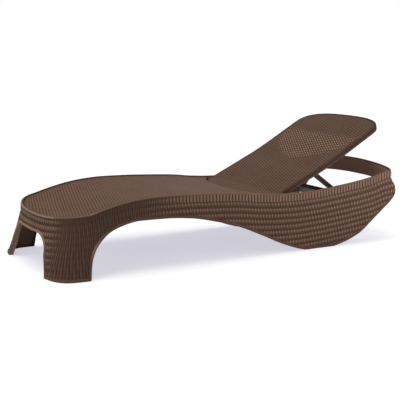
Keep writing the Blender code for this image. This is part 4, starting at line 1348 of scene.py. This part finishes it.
@dataclass
class SeatTop:
    """Woven top of the seat deck."""

    form: BodyForm
    sheet: Sheet
    drop: float = 0.006
    dish: float = 0.006
    seam: float = 0.0045
    corner_setback: float = 0.012
    curl_run: float = 0.300
    foot_row_half: float = 0.0336
    outline_samples: int = 1500
    smooth_from: Span = (-0.42, -0.12)
    smooth_share: float = 0.22

    def rear(self, y: Array) -> Array:
        """Place of the seat's rear edge, which curls round the backrest.

        Args:
            y: Places across the seat.

        Returns:
            The place along the lounger at each of them.
        """
        limit = self.form.well_half - self.corner_setback
        edge = self.form.back_front.inset(-self.seam)
        return self.form.hinge_x - edge.x_at(np.minimum(np.abs(y), limit)) - self.sheet.roll

    def half_table(self) -> tuple[Array, Array]:
        """Outline of the foot end inside its rim.

        Returns:
            Places along the lounger, and the half width at each.
        """
        f = self.form
        inset = f.rim_width + f.gap + self.sheet.roll
        front = f.foot(np.linspace(0.0, f.front_end, self.outline_samples))
        corner = f.corner(np.linspace(0.0, 1.0, self.outline_samples))
        side = f.side(np.linspace(f.leg_rear - f.bead_height, f.foot_arc_x, self.outline_samples))
        x = np.concatenate([s.x - s.nx * inset for s in (front, corner, side)])
        y = np.concatenate([s.y - s.ny * inset for s in (front, corner, side)])
        order = np.argsort(x)
        return x[order], np.maximum.accumulate(y[order])

    def build(self, material: Material) -> None:
        """Model and dress the seat's top.

        Args:
            material: Its finish.
        """
        f, s, t = self.form, self.sheet, self.sheet.twill
        xs, halves = self.half_table()
        wide = f.well_half - f.gap - s.roll
        foot = s.outline_rows(xs, halves)
        last = float(self.rear(np.array(0.0)))
        rows = s.joined_rows(foot, np.array([last]))
        half = np.where(rows > f.foot_arc_x, wide, np.interp(rows, xs, halves))
        y = s.across(wide, half)
        curl = np.clip((rows - (last - self.curl_run)) / self.curl_run, 0.0, 1.0)[:, None] ** 2
        x = rows[:, None] + curl * (self.rear(y) - last)
        cad_half = np.maximum(half[:, None] + s.roll, self.foot_row_half)
        z = f.rim_height(x) - self.drop - self.dish * (1 - np.minimum(1.0, np.abs(y) / cad_half) ** 2)
        edge = half[:, None] - np.abs(y)
        edge = np.minimum(edge, self.rear(y) - x)
        edge = np.minimum(edge, x - (f.foot_arc_x - f.foot_rim.inset(f.rim_width + s.roll).x_at(y)))
        calm = 1 - (1 - self.smooth_share) * ease(x, *self.smooth_from)
        obj = s.lay("woven_seat_top", x, y, z, t.strokes(x, y), calm * t.weight(edge))
        dress(obj, material, Body.FRAME)


@dataclass
class BackTop:
    """Woven top of the backrest, drawn lowered and then raised to its rest place.

    Across it runs a band of steeper strokes, the lens, from lens_fronts back to lens_rear.
    """

    form: BodyForm
    sheet: Sheet
    drop: float = 0.004
    thickness: float = 0.020
    reach: float = 0.700
    rise: float = 0.1445
    tip: Oval = Oval(0.118, 0.327, 2.8)
    rest_deg: float = 15.7
    lens: Twill = Twill(stroke=0.0134, stroke_slope=0.55, piece=4, notch=0.62)
    lens_fronts: Curve = Curve(((0.00, 0.270), (0.085, 0.290), (0.150, 0.320), (0.215, 0.357),
                                (0.255, 0.390), (0.290, 0.430), (0.310, 0.545)))
    lens_rear: float = 0.545
    lens_fade: float = 0.045
    lens_share: float = 0.98
    outer_share: float = 0.62
    outer_base: float = 0.10
    outline_samples: int = 3000
    rises: Curve = Curve(((0.000, 0.000), (0.045, 0.035), (0.231, 0.183), (0.434, 0.350), (0.677, 0.625),
                          (0.844, 0.827), (0.982, 0.982), (1.100, 1.110)))

    @property
    def hinge(self) -> tuple[float, float]:
        """Place and height of the hinge's axis."""
        x = self.form.hinge_x
        return x, float(self.form.rim_height(np.array(x))) - self.drop - self.thickness / 2

    @property
    def bend(self) -> float:
        """Place where the tip starts to curve in."""
        return self.form.hinge_x + self.reach - self.tip.depth

    def top(self, x: Array) -> Array:
        """Height of the lowered panel's top.

        Args:
            x: Places along the lounger.

        Returns:
            The height at each of them.
        """
        f = self.form
        risen = self.hinge[1] + self.thickness / 2 + self.rise * self.rises.at((x - f.hinge_x) / self.reach)
        return np.where(x < f.hinge_x, f.rim_height(x) - self.drop, risen)

    def half(self, x: Array) -> Array:
        """Half width of the sheet before its edge is rolled.

        Args:
            x: Places along the lounger.

        Returns:
            The half width at each of them.
        """
        f, r = self.form, self.sheet.roll
        front, tip = f.back_front.inset(r), self.tip.inset(r)
        wide = np.where(x < f.hinge_x, front.y_at(np.minimum(0.0, x - f.hinge_x)), front.half)
        return np.where(x > self.bend, tip.y_at(np.maximum(0.0, x - self.bend)), wide)

    def build(self, material: Material) -> None:
        """Model and dress the backrest's top.

        Args:
            material: Its finish.
        """
        f, s, t = self.form, self.sheet, self.sheet.twill
        first = f.hinge_x - f.back_front.depth + s.roll
        end = f.hinge_x + self.reach - s.roll
        turn = np.linspace(0.0, math.pi / 2, self.outline_samples)
        fine = f.hinge_x - (f.hinge_x - first) * np.cos(turn)
        front = s.outline_rows(fine, self.half(fine))
        fine = self.bend + (end - self.bend) * np.cos(turn)
        tip = s.outline_rows(fine, self.half(fine))[::-1]
        rows = s.joined_rows(front, tip)
        half = self.half(rows)
        y = s.across(f.back_front.half, half)
        x = rows[:, None] + 0 * y
        edge = np.minimum(half[:, None] - np.abs(y), x - (f.hinge_x - f.back_front.inset(s.roll).x_at(y)))
        edge = np.minimum(edge, self.bend + self.tip.inset(s.roll).x_at(y) - x)
        along = x - f.hinge_x
        within = np.minimum(along - self.lens_fronts.at(np.abs(y)), self.lens_rear - along)
        inside = ease(within, 0.0, self.lens_fade)
        outer = self.outer_base + self.outer_share * t.stitches(x, y)
        weave = outer * (1 - inside) + self.lens_share * self.lens.strokes(x, y) * inside
        obj = s.lay("woven_back_top", x, y, self.top(x), weave, t.weight(edge))
        self.raise_up(obj)
        dress(obj, material, Body.BACKREST)

    def raise_up(self, obj: Piece) -> None:
        """Turn the lowered sheet about the hinge to its rest place.

        Args:
            obj: The sheet.
        """
        flat = np.zeros(len(obj.data.vertices) * 3)
        obj.data.vertices.foreach_get("co", flat)
        flat = flat.reshape(-1, 3)
        x0, z0 = self.hinge
        a = math.radians(self.rest_deg)
        x, z = flat[:, 0] - x0, flat[:, 2] - z0
        flat[:, 0] = x0 + x * math.cos(a) - z * math.sin(a)
        flat[:, 2] = z0 + x * math.sin(a) + z * math.cos(a)
        obj.data.vertices.foreach_set("co", flat.ravel())
        obj.data.update()


@dataclass
class CarriedNodes:
    """CAD nodes that stay as they are and get a finer material."""

    inner: tuple[str, ...] = ("cross_beam", "hinge_plate", "notch_rack", "strut_bracket", "prop_strut",
                              "strut_roller")
    shell: tuple[str, ...] = ("seat_deck", "backrest_panel")
    metal: tuple[str, ...] = ("hinge_pin", "strut_pin", "strut_rod", "rack_screw")

    def dress(self, shell: Material, inner: Material, metal: Material) -> None:
        """Assign the materials.

        Args:
            shell: For the panels' edges and undersides.
            inner: For the beams, racks, brackets and the strut.
            metal: For the pins, the rod and the screws.
        """
        for group, material in ((self.shell, shell), (self.inner, inner), (self.metal, metal)):
            for name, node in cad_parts.items():
                if name.startswith(group):
                    for slot in node.material_slots:
                        slot.material = material
                    LOG.info("%s: %s", name, material.name)


@dataclass
class Studio:
    """Plain pale floor, soft light and the camera at the photograph's angle."""

    floor_half: float = 30.0
    floor_colour: Colour = (0.82, 0.82, 0.82)
    floor_roughness: float = 0.9
    floor_specular: float = 0.1
    shade_colour: Colour = (0.52, 0.53, 0.44)
    floor_glow: Colour = (0.58, 0.57, 0.65)
    sky: Colour = (0.97, 0.98, 1.0)
    sky_strength: float = 0.29
    key_strength: float = 1.85
    key_from: Point = (-0.14, 0.0, 1.0)
    key_angle: float = 50.0
    front_strength: float = 0.58
    front_from: Point = (-0.95, -0.10, 0.26)
    front_angle: float = 45.0
    fill_power: float = 7.2
    fill_at: Point = (1.05, -1.35, 0.55)
    fill_size: float = 0.8
    fill_aim: Point = (0.5, -0.3, 0.18)
    eye: Point = (-2.1662, -3.9048, 0.9962)
    target: Point = (-0.0354, 0.0, 0.2282)
    lens: float = 82.49
    sensor: float = 36.0
    clip_share: float = 4.0

    @staticmethod
    def facing(source: Point, aim: Point = (0.0, 0.0, 0.0)) -> Euler:
        """Turn of a lamp or a camera that looks from one point to another."""
        return (Vector(source) - Vector(aim)).to_track_quat("Z", "Y").to_euler()

    def build(self) -> None:
        """Make the floor, the lights and the camera."""
        clear_selection()
        bpy.ops.mesh.primitive_plane_add(size=2 * self.floor_half, location=(0, 0, 0))
        floor = bpy.context.object
        floor.name = "studio_floor"
        bpy.ops.object.transform_apply(location=True, rotation=True, scale=True)
        floor.data.materials.append(self.floor_material())
        self.world()
        suns = (("key", self.key_strength, self.key_from, self.key_angle),
                ("front", self.front_strength, self.front_from, self.front_angle))
        for name, strength, source, angle in suns:
            bpy.ops.object.light_add(type="SUN", rotation=self.facing(source))
            lamp = bpy.context.object
            lamp.name = "studio_" + name
            lamp.data.energy = strength
            lamp.data.angle = math.radians(angle)
        bpy.ops.object.light_add(type="AREA", location=self.fill_at,
                                 rotation=self.facing(self.fill_at, self.fill_aim))
        fill = bpy.context.object
        fill.name = "studio_fill"
        fill.data.energy = self.fill_power
        fill.data.size = self.fill_size
        fill.visible_camera = False
        bpy.ops.object.camera_add(location=self.eye, rotation=self.facing(self.eye, self.target))
        camera = bpy.context.object
        camera.data.lens = self.lens
        camera.data.sensor_width = self.sensor
        camera.data.clip_end = self.clip_share * self.floor_half
        bpy.context.scene.camera = camera
        bpy.context.scene.view_settings.view_transform = "Standard"
        LOG.info("studio: floor, world, three lamps and the camera")

    def floor_material(self) -> Material:
        """Pale floor that keeps the object's shadow, and looks white elsewhere to the rays that show it.

        Returns:
            The material.
        """
        made = NodeTree(bpy.data.materials.new("studio_floor"))
        made.put(made.shader, {"Base Color": (*self.floor_colour, 1.0), "Roughness": self.floor_roughness,
                               "Specular IOR Level": self.floor_specular})
        shade = made.add("ShaderNodeBsdfDiffuse", {"Color": (*self.shade_colour, 1.0)})
        glow = made.add("ShaderNodeEmission", {"Color": (*self.floor_glow, 1.0)})
        plain = made.add("ShaderNodeAddShader", {0: shade.outputs[0], 1: glow.outputs[0]})
        made.split_background(plain.outputs[0])
        return made.block

    def world(self) -> None:
        """Soft even light from all round, seen as white by the camera and in reflections."""
        made = NodeTree(bpy.data.worlds.new("studio"))
        bpy.context.scene.world = made.block
        made.put(made.shader, {"Color": (*self.sky, 1.0), "Strength": self.sky_strength})
        white = made.add("ShaderNodeBackground", {"Color": (*WHITE, 1.0), "Strength": 1.0})
        made.split_background(white.outputs[0])


def main() -> None:
    """Build the dressed lounger and its studio."""
    logging.basicConfig(level=logging.INFO, format="%(name)s: %(message)s")
    form = BodyForm()
    # The sides, the seat and the backrest are one plastic; their colours differ as painted light and shade,
    # set for how light falls on each.
    side = WovenPlastic(name="woven_side", crown=(0.288, 0.179, 0.130), wall=(0.140, 0.082, 0.058),
                        gap=(0.023, 0.013, 0.009))
    seat = WovenPlastic(name="woven_seat", crown=(0.184, 0.103, 0.069), wall=(0.124, 0.068, 0.043),
                        gap=(0.042, 0.021, 0.012))
    back = WovenPlastic(name="woven_back", crown=(0.358, 0.214, 0.147), wall=(0.130, 0.075, 0.051),
                        gap=(0.026, 0.013, 0.009))
    shell = MouldedPlastic(name="moulded_shell", colour=(0.072, 0.040, 0.027), dusk=(0.060, 0.033, 0.022))
    inner = MouldedPlastic(name="moulded_inner", colour=(0.080, 0.045, 0.030), dusk=(0.068, 0.038, 0.025))
    metal = BrushedSteel(name="brushed_steel", colour=(0.46, 0.45, 0.44))
    Skirt(form, Weave()).build(side.material())
    SeatTop(form, Sheet(Twill())).build(seat.material())
    BackTop(form, Sheet(Twill(border_share=0.08))).build(back.material())
    CarriedNodes().dress(shell.material(), inner.material(), metal.material())
    Studio().build()


if __name__ == "__main__":
    main()
